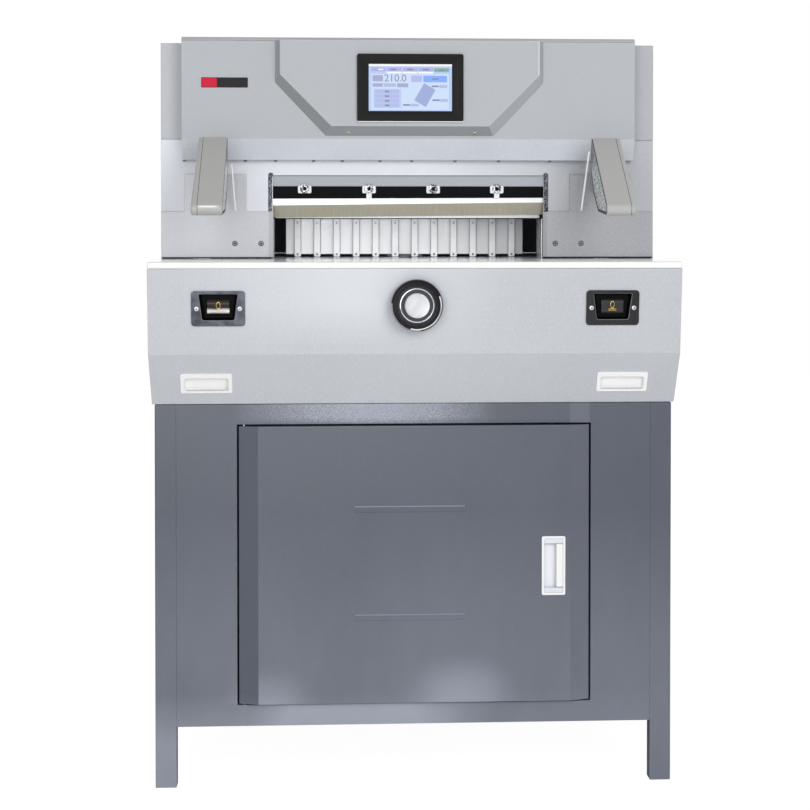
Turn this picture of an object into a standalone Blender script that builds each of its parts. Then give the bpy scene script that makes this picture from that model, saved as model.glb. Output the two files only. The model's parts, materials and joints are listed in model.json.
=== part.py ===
"""Electric paper cutter: a floor-standing guillotine with a 540 mm opening.

Metres, +Z up. Places are worked out from the table's front edge: x runs to the right from the
middle, d is the depth behind the front edge, z is the height over the floor. The finished objects
stand with the middle of their footprint at the world's origin.
"""
import math

import bmesh
import bpy
from mathutils import Matrix, Vector

# Fits and overruns
SEAT_GAP = 0.0003            # between pieces that touch
RUN_GAP = 0.0006             # round pieces that turn or slide
CUT_OVER = 0.005             # how far a cutter runs past the face it opens
SHEET = 0.0025               # folded sheet of the covers

# Table
TABLE_WIDTH = 0.950
TABLE_TOP = 0.950
TABLE_THICK = 0.020
TABLE_DEPTH = 0.915
TABLE_WIDE_DEPTH = TABLE_DEPTH - 0.193  # depth of the full-width part, which covers the cabinet
TABLE_REAR_WIDTH = TABLE_WIDTH - 0.140
TRIM_HEIGHT = 0.012
TRIM_DEPTH = 0.012
STICK_WIDTH = 0.010
STICK_HEIGHT = 0.008
STICK_LENGTH = TABLE_WIDTH - 0.350

# Apron: the cover in front, with a steep upper panel and a slanted lower one
APRON_SETBACK = 0.002
APRON_BOTTOM_HEIGHT = TABLE_TOP - 0.2573
APRON_CREASE_DEPTH = 0.020
APRON_TOP_HEIGHT = TABLE_TOP - TRIM_HEIGHT
APRON_CREASE_SHARE = 0.3779   # of the way up the apron
APRON_CREASE_HEIGHT = APRON_BOTTOM_HEIGHT + APRON_CREASE_SHARE * (APRON_TOP_HEIGHT - APRON_BOTTOM_HEIGHT)
APRON_BOTTOM_DEPTH = 0.066
APRON_CHEEK_DEPTH = 0.120

# Cabinet
CABINET_WIDTH = TABLE_WIDTH - 0.014
CABINET_FRONT = APRON_BOTTOM_DEPTH
CABINET_DEPTH = TABLE_WIDE_DEPTH - 0.002 - CABINET_FRONT
CABINET_SHEET = 0.003
CABINET_UPPER_SETBACK = 0.009
POST_WIDTH = 0.038
POST_DEPTH = 0.028
RAIL_HEIGHT = 0.110
DOOR_OPENING_WIDTH = CABINET_WIDTH - 0.295
DOOR_OPENING_LOW = RAIL_HEIGHT + 0.038
DOOR_OPENING_HIGH = APRON_BOTTOM_HEIGHT - 0.0373
DOOR_RIM_DEPTH = 0.022
BASE_PLATE_THICK = 0.010

# Door
DOOR_SIDE_GAP = 0.003
DOOR_END_GAP = 0.0028
DOOR_FLANGE = 0.035
DOOR_EDGE_SETBACK = 0.002
DOOR_PROUD = 0.010
DOOR_BACK = 0.014            # its back, behind the cabinet's front
DOOR_SHEET = 0.002
DOOR_WALL = 0.006
DOOR_PIN_INSET = 0.012
DOOR_PIN_DEPTH = 0.008
DOOR_PIN_RADIUS = 0.003
DOOR_PIN_REACH = 0.012
DOOR_PIN_HEAD_RADIUS = 0.0046
DOOR_PIN_HEAD = 0.004
DOOR_HINGE_BLOCK = 0.022
SLOT_LENGTH = 0.207
SLOT_HEIGHT = 0.011
SLOT_X = -0.0093             # middle of the slots, a little left of the door's
SLOT_DEEP = 0.001
SLOT_UPPER_HEIGHT = DOOR_OPENING_HIGH - 0.1534
SLOT_LOWER_HEIGHT = DOOR_OPENING_LOW + 0.158
HANDLE_X = DOOR_OPENING_WIDTH / 2 - 0.0692
HANDLE_DROP = 0.0065         # below the middle between the slots
HANDLE_HEIGHT = (SLOT_UPPER_HEIGHT + SLOT_LOWER_HEIGHT) / 2 - HANDLE_DROP
HANDLE_WIDTH = 0.043
HANDLE_LENGTH = 0.107
HANDLE_RIM = 0.0035
HANDLE_PROUD = 0.002
HANDLE_DEEP = 0.013
HANDLE_WALL = 0.0025

# Face plate, guards and columns
FACE_DEPTH = 0.285
FACE_THICK = 0.004
FACE_TOP = TABLE_TOP + 0.2286
HEAD_TOP = FACE_TOP + 0.1934
THROAT_WIDTH = TABLE_WIDTH - 0.409
LINTEL_HEIGHT = FACE_TOP - 0.0682
FACE_NOTCH_WIDTH = 0.010
FACE_NOTCH_HEIGHT = 0.005
COLUMN_WIDTH = 0.0415
COLUMN_DEPTH = 0.280
COLUMN_TOP = HEAD_TOP - 0.0093
GUARD_THICK = 0.003
GUARD_SIDE_INSET = 0.001
GUARD_TOP = TABLE_TOP + 0.0905
GUARD_LIFT = 0.003
GUARD_INWARD = 0.010
PAD_TOP = GUARD_TOP + 0.0719
PAD_INNER_X = TABLE_WIDTH / 2 - 0.163
PAD_OUTER_X = TABLE_WIDTH / 2 - 0.045

# Head
HEAD_FRONT = FACE_DEPTH - 0.035
HEAD_ROUND = 0.010
HEAD_LIP_HEIGHT = FACE_TOP - 0.0398
HEAD_LIP_DEPTH = HEAD_FRONT + 0.016
HEAD_SPLIT_DEPTH = HEAD_FRONT + 0.150
HEAD_REAR_LOW = FACE_TOP - 0.0286
BEAM_LOW = HEAD_TOP - 0.132
BEAM_HIGH = HEAD_TOP - 0.072
BEAM_DEPTH = 0.056
HOOD_TOP = HEAD_REAR_LOW - 0.010
HOOD_WIDTH = TABLE_WIDTH - 0.154
HOOD_REAR_INSET = 0.004

# Console and touch panel
CONSOLE_PROUD = 0.022
CONSOLE_TOP = HEAD_TOP - 0.007
CONSOLE_SHOULDER = CONSOLE_TOP - 0.080
CONSOLE_BOTTOM = CONSOLE_TOP - 0.181
CONSOLE_WIDTH = 0.512
CONSOLE_BOTTOM_WIDTH = CONSOLE_WIDTH - 0.192
CONSOLE_BEVEL = 0.010
CONSOLE_LOW_BEVEL = 0.0185
CONSOLE_SHOULDER_DROP = 0.0145
PANEL_WIDTH = 0.2015
PANEL_HEIGHT = 0.1276
PANEL_CENTRE = CONSOLE_TOP - 0.0903
PANEL_PROUD = 0.006
SCREEN_WIDTH = 0.1576
SCREEN_HEIGHT = 0.0885
SCREEN_THICK = 0.002

# Light-curtain arms and side shields
ARM_X = TABLE_WIDTH / 2 - 0.108
ARM_WIDTH = 0.053
ARM_TOP_DEPTH = HEAD_FRONT - 0.067
ARM_TOP_HEIGHT = GUARD_TOP + 0.1375
ARM_LOW_DEPTH = ARM_TOP_DEPTH - 0.173
ARM_LOW_HEIGHT = GUARD_TOP - 0.0085
ARM_TOE_RADIUS = 0.012
ARM_BELLY_DEPTH = ARM_TOP_DEPTH + 0.016
ARM_BELLY_HEIGHT = GUARD_TOP + 0.0705
ARM_HEEL_DEPTH = ARM_TOP_DEPTH - 0.0695
ARM_HEEL_HEIGHT = GUARD_TOP - 0.0015
ARM_FOOT_WIDTH = 0.030
ARM_FOOT_LOW = GUARD_TOP + 0.0395
ARM_FOOT_HIGH = ARM_FOOT_LOW + 0.040
SHIELD_THICK = 0.004
SHIELD_ARM_GAP = 0.005
SHIELD_FRONT = ARM_TOP_DEPTH - 0.0085
SHIELD_TOP_HEIGHT = GUARD_TOP + 0.1125
SHIELD_BACK_HEIGHT = GUARD_TOP + 0.0895
SHIELD_FOOT = 0.008
SHIELD_LOW_HEIGHT = GUARD_TOP + 0.0015

# Buttons, pulls and handwheel
BUTTON_X = TABLE_WIDTH / 2 - 0.1244
BUTTON_SHARE = 0.5393         # of the way up the upper panel
BUTTON_HEIGHT = APRON_CREASE_HEIGHT + BUTTON_SHARE * (APRON_TOP_HEIGHT - APRON_CREASE_HEIGHT)
BEZEL_WIDTH = 0.095
BEZEL_HEIGHT = 0.063
BEZEL_PROUD = 0.003
BEZEL_CUP_MARGIN = 0.004
BEZEL_FLOOR = 0.003
RECESS_TOP_WIDTH = 0.070
RECESS_BOTTOM_WIDTH = 0.057
RECESS_HEIGHT = 0.0464
RECESS_DEEP = 0.013
BUTTON_WIDTH = 0.040
BUTTON_TALL = 0.0288
BUTTON_STICK_OUT = 0.008
BUTTON_STEM = 0.012
PULL_X = TABLE_WIDTH / 2 - 0.101
PULL_SHARE = 0.4272           # of the way up the lower panel
PULL_HEIGHT = APRON_BOTTOM_HEIGHT + PULL_SHARE * (APRON_CREASE_HEIGHT - APRON_BOTTOM_HEIGHT)
PULL_WIDTH = 0.092
PULL_TALL = 0.040
PULL_PROUD = 0.002
PULL_RECESS_WIDTH = 0.0796
PULL_RECESS_TALL = 0.024
PULL_DEEP = 0.016
PULL_WALL = 0.002
WHEEL_HEIGHT = TABLE_TOP - 0.077
WHEEL_RADIUS = 0.045
WHEEL_FRONT = -0.016
WHEEL_BACK = 0.003
WHEEL_DISH_RADIUS = 0.034
WHEEL_DISH_DEEP = 0.006
WHEEL_CAP_RADIUS = 0.0226
WHEEL_CAP_PROUD = 0.003
WHEEL_EDGE = 0.003

# Knife, clamp and what guides them
KNIFE_TRAVEL = 0.078
BLADE_FRONT = FACE_DEPTH + 0.013
BLADE_THICK = 0.010
BLADE_LENGTH = THROAT_WIDTH + 0.059
BLADE_EDGE_MIDDLE = TABLE_TOP + 0.082
BLADE_EDGE_RISE = 0.0066     # from the left end to the right one
BLADE_BEVEL = 0.0235
BLADE_TOP = BLADE_EDGE_MIDDLE + 0.0837
KNIFE_BAR_FRONT = BLADE_FRONT - 0.0055
KNIFE_BAR_LENGTH = TABLE_WIDTH - 0.142
KNIFE_BAR_TOP = BLADE_TOP + 0.1043
KNIFE_BAR_LIP = BLADE_TOP - 0.026  # lower edge of its grey front
KNIFE_BAR_FOOT = BLADE_TOP - 0.0512  # lower edge of its dark, set-back foot
KNIFE_BAR_STEP = 0.0015
KNIFE_GUIDE_LOW = TABLE_TOP + 0.050
CLAMP_FRONT = BLADE_FRONT + 0.014
CLAMP_DEPTH = 0.068
CLAMP_LOW = TABLE_TOP + 0.078
CLAMP_WIDTH = THROAT_WIDTH - 0.027
CLAMP_ARM_LOW = CLAMP_LOW + 0.097
CLAMP_ARM_WIDTH = TABLE_WIDTH - 0.280
CLAMP_TOP = CLAMP_ARM_LOW + 0.035
CLAMP_GUIDE_X = TABLE_WIDTH / 2 - 0.165
CLAMP_GUIDE_RADIUS = 0.009
CLAMP_SCREW_RADIUS = 0.010
CLAMP_SCREW_REACH = 0.088
CLAMP_SCREW_COLLAR = 0.016
CLAMP_MOTOR_LENGTH = 0.210
CLAMP_MOTOR_RADIUS = 0.030
CLAMP_GEARBOX_WIDTH = 0.100
CLAMP_GEARBOX_HEIGHT = 0.062

# Knife drive: a rocker shaft under the table pulls two rods
ROD_X = TABLE_WIDTH / 2 - 0.122
ROD_WIDTH = 0.020
ROD_DEPTH = 0.022
ROD_YOKE_DEPTH = 0.046
ROD_YOKE_HEIGHT = 0.034
BASE_PLATE_TOP = APRON_BOTTOM_HEIGHT + BASE_PLATE_THICK
ROCKER_SHARE = 0.38407        # of the way from the base plate up to the table
ROCKER_HEIGHT = BASE_PLATE_TOP + ROCKER_SHARE * (TABLE_TOP - TABLE_THICK - BASE_PLATE_TOP)
ROCKER_SHAFT_RADIUS = 0.015
ROCKER_ARM_THICK = 0.012
ROCKER_ARM_WIDTH = 0.030
ROCKER_PIN_RADIUS = 0.007
ROCKER_SWING = math.radians(90)
ROCKER_SLACK = 0.0022        # round the pin, for the arc that a straight slot leaves out
GEARBOX_WIDTH = 0.130
GEARBOX_DEPTH = 0.120
GEARBOX_TOP = ROCKER_HEIGHT + 0.042
MOTOR_RADIUS = 0.045
MOTOR_LENGTH = 0.215
MOTOR_HEIGHT = BASE_PLATE_TOP + MOTOR_RADIUS + 0.0183

# Back gauge
GAUGE_WIDTH = THROAT_WIDTH - 0.062
GAUGE_FRONT = CLAMP_FRONT + 0.129  # face of its fingers at rest
GAUGE_THICK = 0.012
GAUGE_LOW = TABLE_TOP + 0.006
GAUGE_HIGH = CLAMP_LOW - 0.0015
FINGER_COUNT = 12
FINGER_PITCH = (GAUGE_WIDTH - 0.0467) / (FINGER_COUNT - 1)
FINGER_WIDTH = 0.0127
FINGER_DEPTH = 0.009
BEARING_FRONT_DEPTH = FACE_DEPTH + 0.007
BEARING_REAR_DEPTH = TABLE_DEPTH - 0.025
CARRIAGE_WIDTH = 0.110
CARRIAGE_DEPTH = 0.060
CARRIAGE_LOW = WHEEL_HEIGHT - 0.027
CARRIAGE_NECK = 0.022
CARRIAGE_TOE_WIDTH = 0.070
SLOT_FRONT = BEARING_FRONT_DEPTH + 0.033
SLOT_REAR = BEARING_REAR_DEPTH - 0.005
SLOT_WIDTH = 0.024
SCREW_RADIUS = 0.008
SCREW_END = BEARING_REAR_DEPTH + 0.005
GAUGE_ROD_X = 0.036
GAUGE_ROD_RADIUS = 0.006
BEARING_THICK = 0.018
BEARING_LOW = WHEEL_HEIGHT - 0.023
GAUGE_MOTOR_SIZE = 0.057
GAUGE_MOTOR_LENGTH = 0.056
GAUGE_MOTOR_CLEARANCE = 0.003  # beside the carriage's way

# Cabinet fittings
BOX_X = CABINET_WIDTH / 2 - 0.238
BOX_WIDTH = 0.330
BOX_DEPTH = 0.150
BOX_HIGH = APRON_BOTTOM_HEIGHT - 0.0727
BOX_LOW = BOX_HIGH - 0.320
INLET_X = 0.168 - CABINET_WIDTH / 2
INLET_HEIGHT = RAIL_HEIGHT + 0.110
INLET_WIDTH = 0.048
INLET_TALL = 0.030
INLET_DEPTH = 0.020
INLET_SOCKET = 0.014
INLET_MARGIN = 0.006

ROUND_SIDES = 24
FINE_SIDES = 32
ARC_STEPS = 5

DEPTH_MIDDLE = (TABLE_DEPTH + WHEEL_FRONT - WHEEL_CAP_PROUD) / 2


def colour_material(name, colour, roughness, metallic=0.0):
    """A Principled BSDF with one colour."""
    material = bpy.data.materials.new(name)
    material.use_nodes = True
    shader = material.node_tree.nodes["Principled BSDF"]
    shader.inputs["Base Color"].default_value = (*colour, 1.0)
    shader.inputs["Roughness"].default_value = roughness
    shader.inputs["Metallic"].default_value = metallic
    return material


def make_materials():
    """The machine's finishes by name."""
    table = {
        "grey_paint": ((0.52, 0.53, 0.54), 0.45, 0.0),
        "pale_paint": ((0.60, 0.62, 0.64), 0.50, 0.1),
        "dark_paint": ((0.12, 0.15, 0.18), 0.50, 0.0),
        "steel": ((0.62, 0.63, 0.65), 0.32, 1.0),
        "dark_steel": ((0.16, 0.17, 0.18), 0.45, 0.8),
        "aluminium": ((0.78, 0.79, 0.80), 0.30, 1.0),
        "white_plastic": ((0.86, 0.86, 0.85), 0.35, 0.0),
        "beige_plastic": ((0.47, 0.46, 0.44), 0.45, 0.0),
        "black_plastic": ((0.02, 0.02, 0.022), 0.30, 0.0),
        "clear_plastic": ((0.80, 0.84, 0.86), 0.10, 0.0),
        "display": ((0.62, 0.72, 0.86), 0.20, 0.0),
        "brass": ((0.72, 0.56, 0.30), 0.35, 1.0),
    }
    return {name: colour_material(name, *values) for name, values in table.items()}


def new_object(name, bm, material, pivot=(0, 0, 0), tilt=0.0):
    """An object whose mesh is drawn about pivot; tilt turns it about x there."""
    mesh = bpy.data.meshes.new(name)
    bmesh.ops.recalc_face_normals(bm, faces=bm.faces)
    bm.to_mesh(mesh)
    bm.free()
    obj = bpy.data.objects.new(name, mesh)
    obj.location = (pivot[0], pivot[1] - DEPTH_MIDDLE, pivot[2])
    obj.rotation_euler.x = tilt
    bpy.context.collection.objects.link(obj)
    if material is not None:
        mesh.materials.append(material)
    return obj


def shade_round(obj):
    """Smooth shading that keeps the square edges."""
    obj.data.shade_smooth()
    obj.data.set_sharp_from_angle(angle=math.radians(35))


def add_box(bm, low, high, pivot=(0, 0, 0)):
    """A box between two corners."""
    corners = [Vector(low) - Vector(pivot), Vector(high) - Vector(pivot)]
    size = corners[1] - corners[0]
    middle = (corners[0] + corners[1]) / 2
    matrix = Matrix.Translation(middle) @ Matrix.Diagonal((*size, 1))
    bmesh.ops.create_cube(bm, size=1, matrix=matrix)


def add_prism(bm, outline, axis, low, high):
    """An outline extruded along x, y or z. Its points are the other two coordinates in order."""
    places = {"x": lambda p, t: (t, p[0], p[1]),
              "y": lambda p, t: (p[0], t, p[1]),
              "z": lambda p, t: (p[0], p[1], t)}
    face = bm.faces.new([bm.verts.new(places[axis](point, low)) for point in outline])
    pushed = bmesh.ops.extrude_face_region(bm, geom=[face])["geom"]
    moved = [item for item in pushed if isinstance(item, bmesh.types.BMVert)]
    bmesh.ops.translate(bm, verts=moved, vec=Vector(places[axis]((0, 0), high - low)))


def add_ring_plate(bm, outer, inner, low, high):
    """A plate in the x-z plane with a hole: outer and inner are (x0, z0, x1, z1)."""
    loops = []
    for x0, z0, x1, z1 in (outer, inner):
        for depth in (low, high):
            loops.append([bm.verts.new((x, depth, z)) for x, z in ((x0, z0), (x1, z0), (x1, z1), (x0, z1))])
    outer_front, outer_back, inner_front, inner_back = loops
    for first, second in ((outer_front, inner_front), (inner_back, outer_back),
                          (outer_back, outer_front), (inner_front, inner_back)):
        for i in range(4):
            j = (i + 1) % 4
            bm.faces.new((first[i], first[j], second[j], second[i]))


def add_rod(bm, start, end, radius, sides=ROUND_SIDES):
    """A round bar between two points."""
    start, end = Vector(start), Vector(end)
    turn = (end - start).to_track_quat("Z", "Y").to_matrix().to_4x4()
    matrix = Matrix.Translation((start + end) / 2) @ turn
    bmesh.ops.create_cone(bm, cap_ends=True, segments=sides, radius1=radius, radius2=radius,
                          depth=(end - start).length, matrix=matrix)


def add_turned(bm, profile, sides=FINE_SIDES):
    """A shape turned about the y axis from (radius, depth) points whose ends lie on the axis."""
    rings = []
    for radius, depth in profile:
        if radius == 0:
            rings.append([bm.verts.new((0, depth, 0))])
            continue
        angles = [2 * math.pi * i / sides for i in range(sides)]
        rings.append([bm.verts.new((radius * math.cos(a), depth, radius * math.sin(a))) for a in angles])
    for first, second in zip(rings, rings[1:]):
        for i in range(sides):
            j = (i + 1) % sides
            corners = [first[i % len(first)], first[j % len(first)], second[j % len(second)],
                       second[i % len(second)]]
            bm.faces.new(list(dict.fromkeys(corners)))


def combine(obj, bm, operation):
    """Adds or cuts the shape in bm, which is drawn about the same pivot as the object."""
    tool = new_object(obj.name + "_tool", bm, None, (0, 0, 0))
    tool.location = obj.location
    tool.rotation_euler = obj.rotation_euler
    tool.hide_render = True
    tool.display_type = "WIRE"
    modifier = obj.modifiers.new(operation.lower(), "BOOLEAN")
    modifier.operation = operation
    modifier.object = tool


def cut_box(obj, low, high, pivot=(0, 0, 0)):
    """Cuts a box out of an object."""
    bm = bmesh.new()
    add_box(bm, low, high, pivot)
    combine(obj, bm, "DIFFERENCE")


def cut_rod(obj, start, end, radius, sides=ROUND_SIDES):
    """Cuts a round hole."""
    bm = bmesh.new()
    add_rod(bm, start, end, radius, sides)
    combine(obj, bm, "DIFFERENCE")


def box_piece(name, low, high, material, pivot=(0, 0, 0)):
    """A plain box as an object of its own."""
    bm = bmesh.new()
    add_box(bm, low, high, pivot)
    return new_object(name, bm, material, pivot)


def rod_piece(name, start, end, radius, material, sides=ROUND_SIDES):
    """A plain round bar, its origin at its start."""
    bm = bmesh.new()
    add_rod(bm, (0, 0, 0), Vector(end) - Vector(start), radius, sides)
    obj = new_object(name, bm, material, start)
    shade_round(obj)
    return obj


def arc(centre, radius, start_deg, end_deg, steps=ARC_STEPS):
    """Points round part of a circle."""
    angles = [math.radians(start_deg + (end_deg - start_deg) * i / steps) for i in range(steps + 1)]
    return [(centre[0] + radius * math.cos(a), centre[1] + radius * math.sin(a)) for a in angles]


def touch_angle(centre, point, radius, turn):
    """Where a line from a point touches a circle, in degrees round it; turn picks the side."""
    run, rise = point[0] - centre[0], point[1] - centre[1]
    return math.degrees(math.atan2(rise, run) + turn * math.acos(radius / math.hypot(run, rise)))


# Cabinet

def make_cabinet_side(name, side, paint):
    """A side sheet folded round into the front and the rear post, which run down as legs."""
    outer = side * CABINET_WIDTH / 2
    inner = outer - side * CABINET_SHEET
    post = outer - side * POST_WIDTH
    front, rear = CABINET_FRONT, CABINET_FRONT + CABINET_DEPTH
    outline = [(post, front), (outer, front), (outer, rear), (post, rear), (post, rear - POST_DEPTH),
               (post + side * CABINET_SHEET, rear - POST_DEPTH),
               (post + side * CABINET_SHEET, rear - CABINET_SHEET),
               (inner, rear - CABINET_SHEET), (inner, front + CABINET_SHEET),
               (post + side * CABINET_SHEET, front + CABINET_SHEET),
               (post + side * CABINET_SHEET, front + POST_DEPTH), (post, front + POST_DEPTH)]
    bm = bmesh.new()
    add_prism(bm, outline, "z", 0, TABLE_TOP - TABLE_THICK - SEAT_GAP)
    obj = new_object(name, bm, paint)
    low_x, high_x = sorted((inner - side * CUT_OVER, outer + side * CUT_OVER))
    cut_box(obj, (low_x, front + POST_DEPTH, -CUT_OVER), (high_x, rear - POST_DEPTH, RAIL_HEIGHT))
    low_x, high_x = sorted((post - side * CUT_OVER, outer + side * CUT_OVER))
    cut_box(obj, (low_x, front - CUT_OVER, APRON_BOTTOM_HEIGHT - SEAT_GAP),
            (high_x, front + CABINET_UPPER_SETBACK, TABLE_TOP))
    return obj


def make_cabinet(paint, metal):
    """Sides with legs, front frame, back, floor and the plate that the drive stands on."""
    for name, side in (("cabinet_side_left", -1), ("cabinet_side_right", 1)):
        make_cabinet_side(name, side, paint)
    front, rear = CABINET_FRONT, CABINET_FRONT + CABINET_DEPTH
    between = CABINET_WIDTH / 2 - POST_WIDTH - SEAT_GAP
    half_door = DOOR_OPENING_WIDTH / 2
    hole = (-half_door, DOOR_OPENING_LOW, half_door, DOOR_OPENING_HIGH)
    rim = (-half_door - SHEET, DOOR_OPENING_LOW - SHEET, half_door + SHEET, DOOR_OPENING_HIGH + SHEET)
    bm = bmesh.new()
    top = APRON_BOTTOM_HEIGHT - SEAT_GAP
    add_ring_plate(bm, (-between, RAIL_HEIGHT, between, top), hole, front, front + CABINET_SHEET)
    frame = new_object("cabinet_front_frame", bm, paint)
    bm = bmesh.new()
    add_ring_plate(bm, rim, hole, front + CABINET_SHEET / 2, front + DOOR_RIM_DEPTH)
    combine(frame, bm, "UNION")
    pin_x, pin_d = door_pin_place()
    cut_rod(frame, (pin_x, pin_d, RAIL_HEIGHT), (pin_x, pin_d, top), DOOR_PIN_RADIUS + SEAT_GAP)
    table_low = TABLE_TOP - TABLE_THICK
    back = box_piece("cabinet_back", (-between, rear - CABINET_SHEET, RAIL_HEIGHT),
                     (between, rear, table_low - SEAT_GAP), paint)
    notch = CARRIAGE_WIDTH / 2 + CUT_OVER
    cut_box(back, (-notch, rear - CABINET_SHEET - CUT_OVER, CARRIAGE_LOW - CUT_OVER),
            (notch, rear + CUT_OVER, table_low))
    back_inner = rear - CABINET_SHEET - SEAT_GAP
    box_piece("cabinet_floor", (-between, front + CABINET_SHEET + SEAT_GAP, RAIL_HEIGHT),
              (between, back_inner, RAIL_HEIGHT + CABINET_SHEET), paint)
    box_piece("base_plate", (-between, front + DOOR_RIM_DEPTH + SEAT_GAP, APRON_BOTTOM_HEIGHT + SEAT_GAP),
              (between, back_inner, BASE_PLATE_TOP), metal)


def door_pin_place():
    """x and depth of the door's hinge axis."""
    return -DOOR_OPENING_WIDTH / 2 + DOOR_PIN_INSET, CABINET_FRONT + DOOR_PIN_DEPTH


def make_door(paint, metal, plastic):
    """A bowed sheet door on two pins, with two pressed slots and a flush pull."""
    half = DOOR_OPENING_WIDTH / 2 - DOOR_SIDE_GAP
    low, high = DOOR_OPENING_LOW + DOOR_END_GAP, DOOR_OPENING_HIGH - DOOR_END_GAP
    edge = CABINET_FRONT + DOOR_EDGE_SETBACK
    flat = CABINET_FRONT - DOOR_PROUD
    back = CABINET_FRONT + DOOR_BACK
    pin_x, pin_d = door_pin_place()
    pivot = (pin_x, pin_d, 0)
    outline = [(-half, edge), (-half + DOOR_FLANGE, flat), (half - DOOR_FLANGE, flat), (half, edge),
               (half, back), (-half, back)]
    bm = bmesh.new()
    add_prism(bm, [(x - pin_x, d - pin_d) for x, d in outline], "z", low, high)
    door = new_object("door", bm, paint, pivot)
    pocket = [(-half + DOOR_HINGE_BLOCK, edge), (-half + DOOR_FLANGE, flat + DOOR_SHEET),
              (half - DOOR_FLANGE, flat + DOOR_SHEET), (half - DOOR_WALL, edge),
              (half - DOOR_WALL, back + CUT_OVER), (-half + DOOR_HINGE_BLOCK, back + CUT_OVER)]
    bm = bmesh.new()
    add_prism(bm, [(x - pin_x, d - pin_d) for x, d in pocket], "z", low + DOOR_SHEET, high - DOOR_SHEET)
    combine(door, bm, "DIFFERENCE")
    for end, inward in ((low, 1), (high, -1)):
        cut_rod(door, (0, 0, end - inward * CUT_OVER), (0, 0, end + inward * DOOR_PIN_REACH),
                DOOR_PIN_RADIUS + RUN_GAP)
    for height in (SLOT_UPPER_HEIGHT, SLOT_LOWER_HEIGHT):
        straight = SLOT_LENGTH / 2 - SLOT_HEIGHT / 2
        ends = arc((SLOT_X + straight, height), SLOT_HEIGHT / 2, -90, 90)
        ends += arc((SLOT_X - straight, height), SLOT_HEIGHT / 2, 90, 270)
        bm = bmesh.new()
        add_prism(bm, [(x - pin_x, z) for x, z in ends], "y", flat - CUT_OVER - pin_d,
                  flat + SLOT_DEEP - pin_d)
        combine(door, bm, "DIFFERENCE")
    cup_x = HANDLE_WIDTH / 2 - HANDLE_RIM
    cup_z = HANDLE_LENGTH / 2 - HANDLE_RIM
    cut_box(door, (HANDLE_X - cup_x - SEAT_GAP, flat - CUT_OVER, HANDLE_HEIGHT - cup_z - SEAT_GAP),
            (HANDLE_X + cup_x + SEAT_GAP, flat + DOOR_SHEET + CUT_OVER, HANDLE_HEIGHT + cup_z + SEAT_GAP),
            pivot)

    front = flat - HANDLE_PROUD
    pull = box_piece("door_pull", (HANDLE_X - HANDLE_WIDTH / 2, front, HANDLE_HEIGHT - HANDLE_LENGTH / 2),
                     (HANDLE_X + HANDLE_WIDTH / 2, flat - SEAT_GAP, HANDLE_HEIGHT + HANDLE_LENGTH / 2),
                     plastic, pivot)
    bm = bmesh.new()
    add_box(bm, (HANDLE_X - cup_x, front + HANDLE_PROUD / 2, HANDLE_HEIGHT - cup_z),
            (HANDLE_X + cup_x, front + HANDLE_DEEP + HANDLE_WALL, HANDLE_HEIGHT + cup_z), pivot)
    combine(pull, bm, "UNION")
    cut_box(pull, (HANDLE_X - cup_x + HANDLE_WALL, front - CUT_OVER, HANDLE_HEIGHT - cup_z + HANDLE_WALL),
            (HANDLE_X + cup_x - HANDLE_WALL, front + HANDLE_DEEP, HANDLE_HEIGHT + cup_z - HANDLE_WALL),
            pivot)

    for name, rim, inward in (("hinge_pin_lower", DOOR_OPENING_LOW - SHEET, 1),
                              ("hinge_pin_upper", DOOR_OPENING_HIGH + SHEET, -1)):
        seat = rim - inward * SEAT_GAP
        inside = rim + inward * (SHEET + DOOR_END_GAP + DOOR_PIN_REACH - RUN_GAP)
        pin = rod_piece(name, (pin_x, pin_d, seat), (pin_x, pin_d, inside), DOOR_PIN_RADIUS, metal)
        bm = bmesh.new()
        add_rod(bm, (0, 0, 0), (0, 0, -inward * DOOR_PIN_HEAD), DOOR_PIN_HEAD_RADIUS)
        combine(pin, bm, "UNION")


# Table and apron

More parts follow.
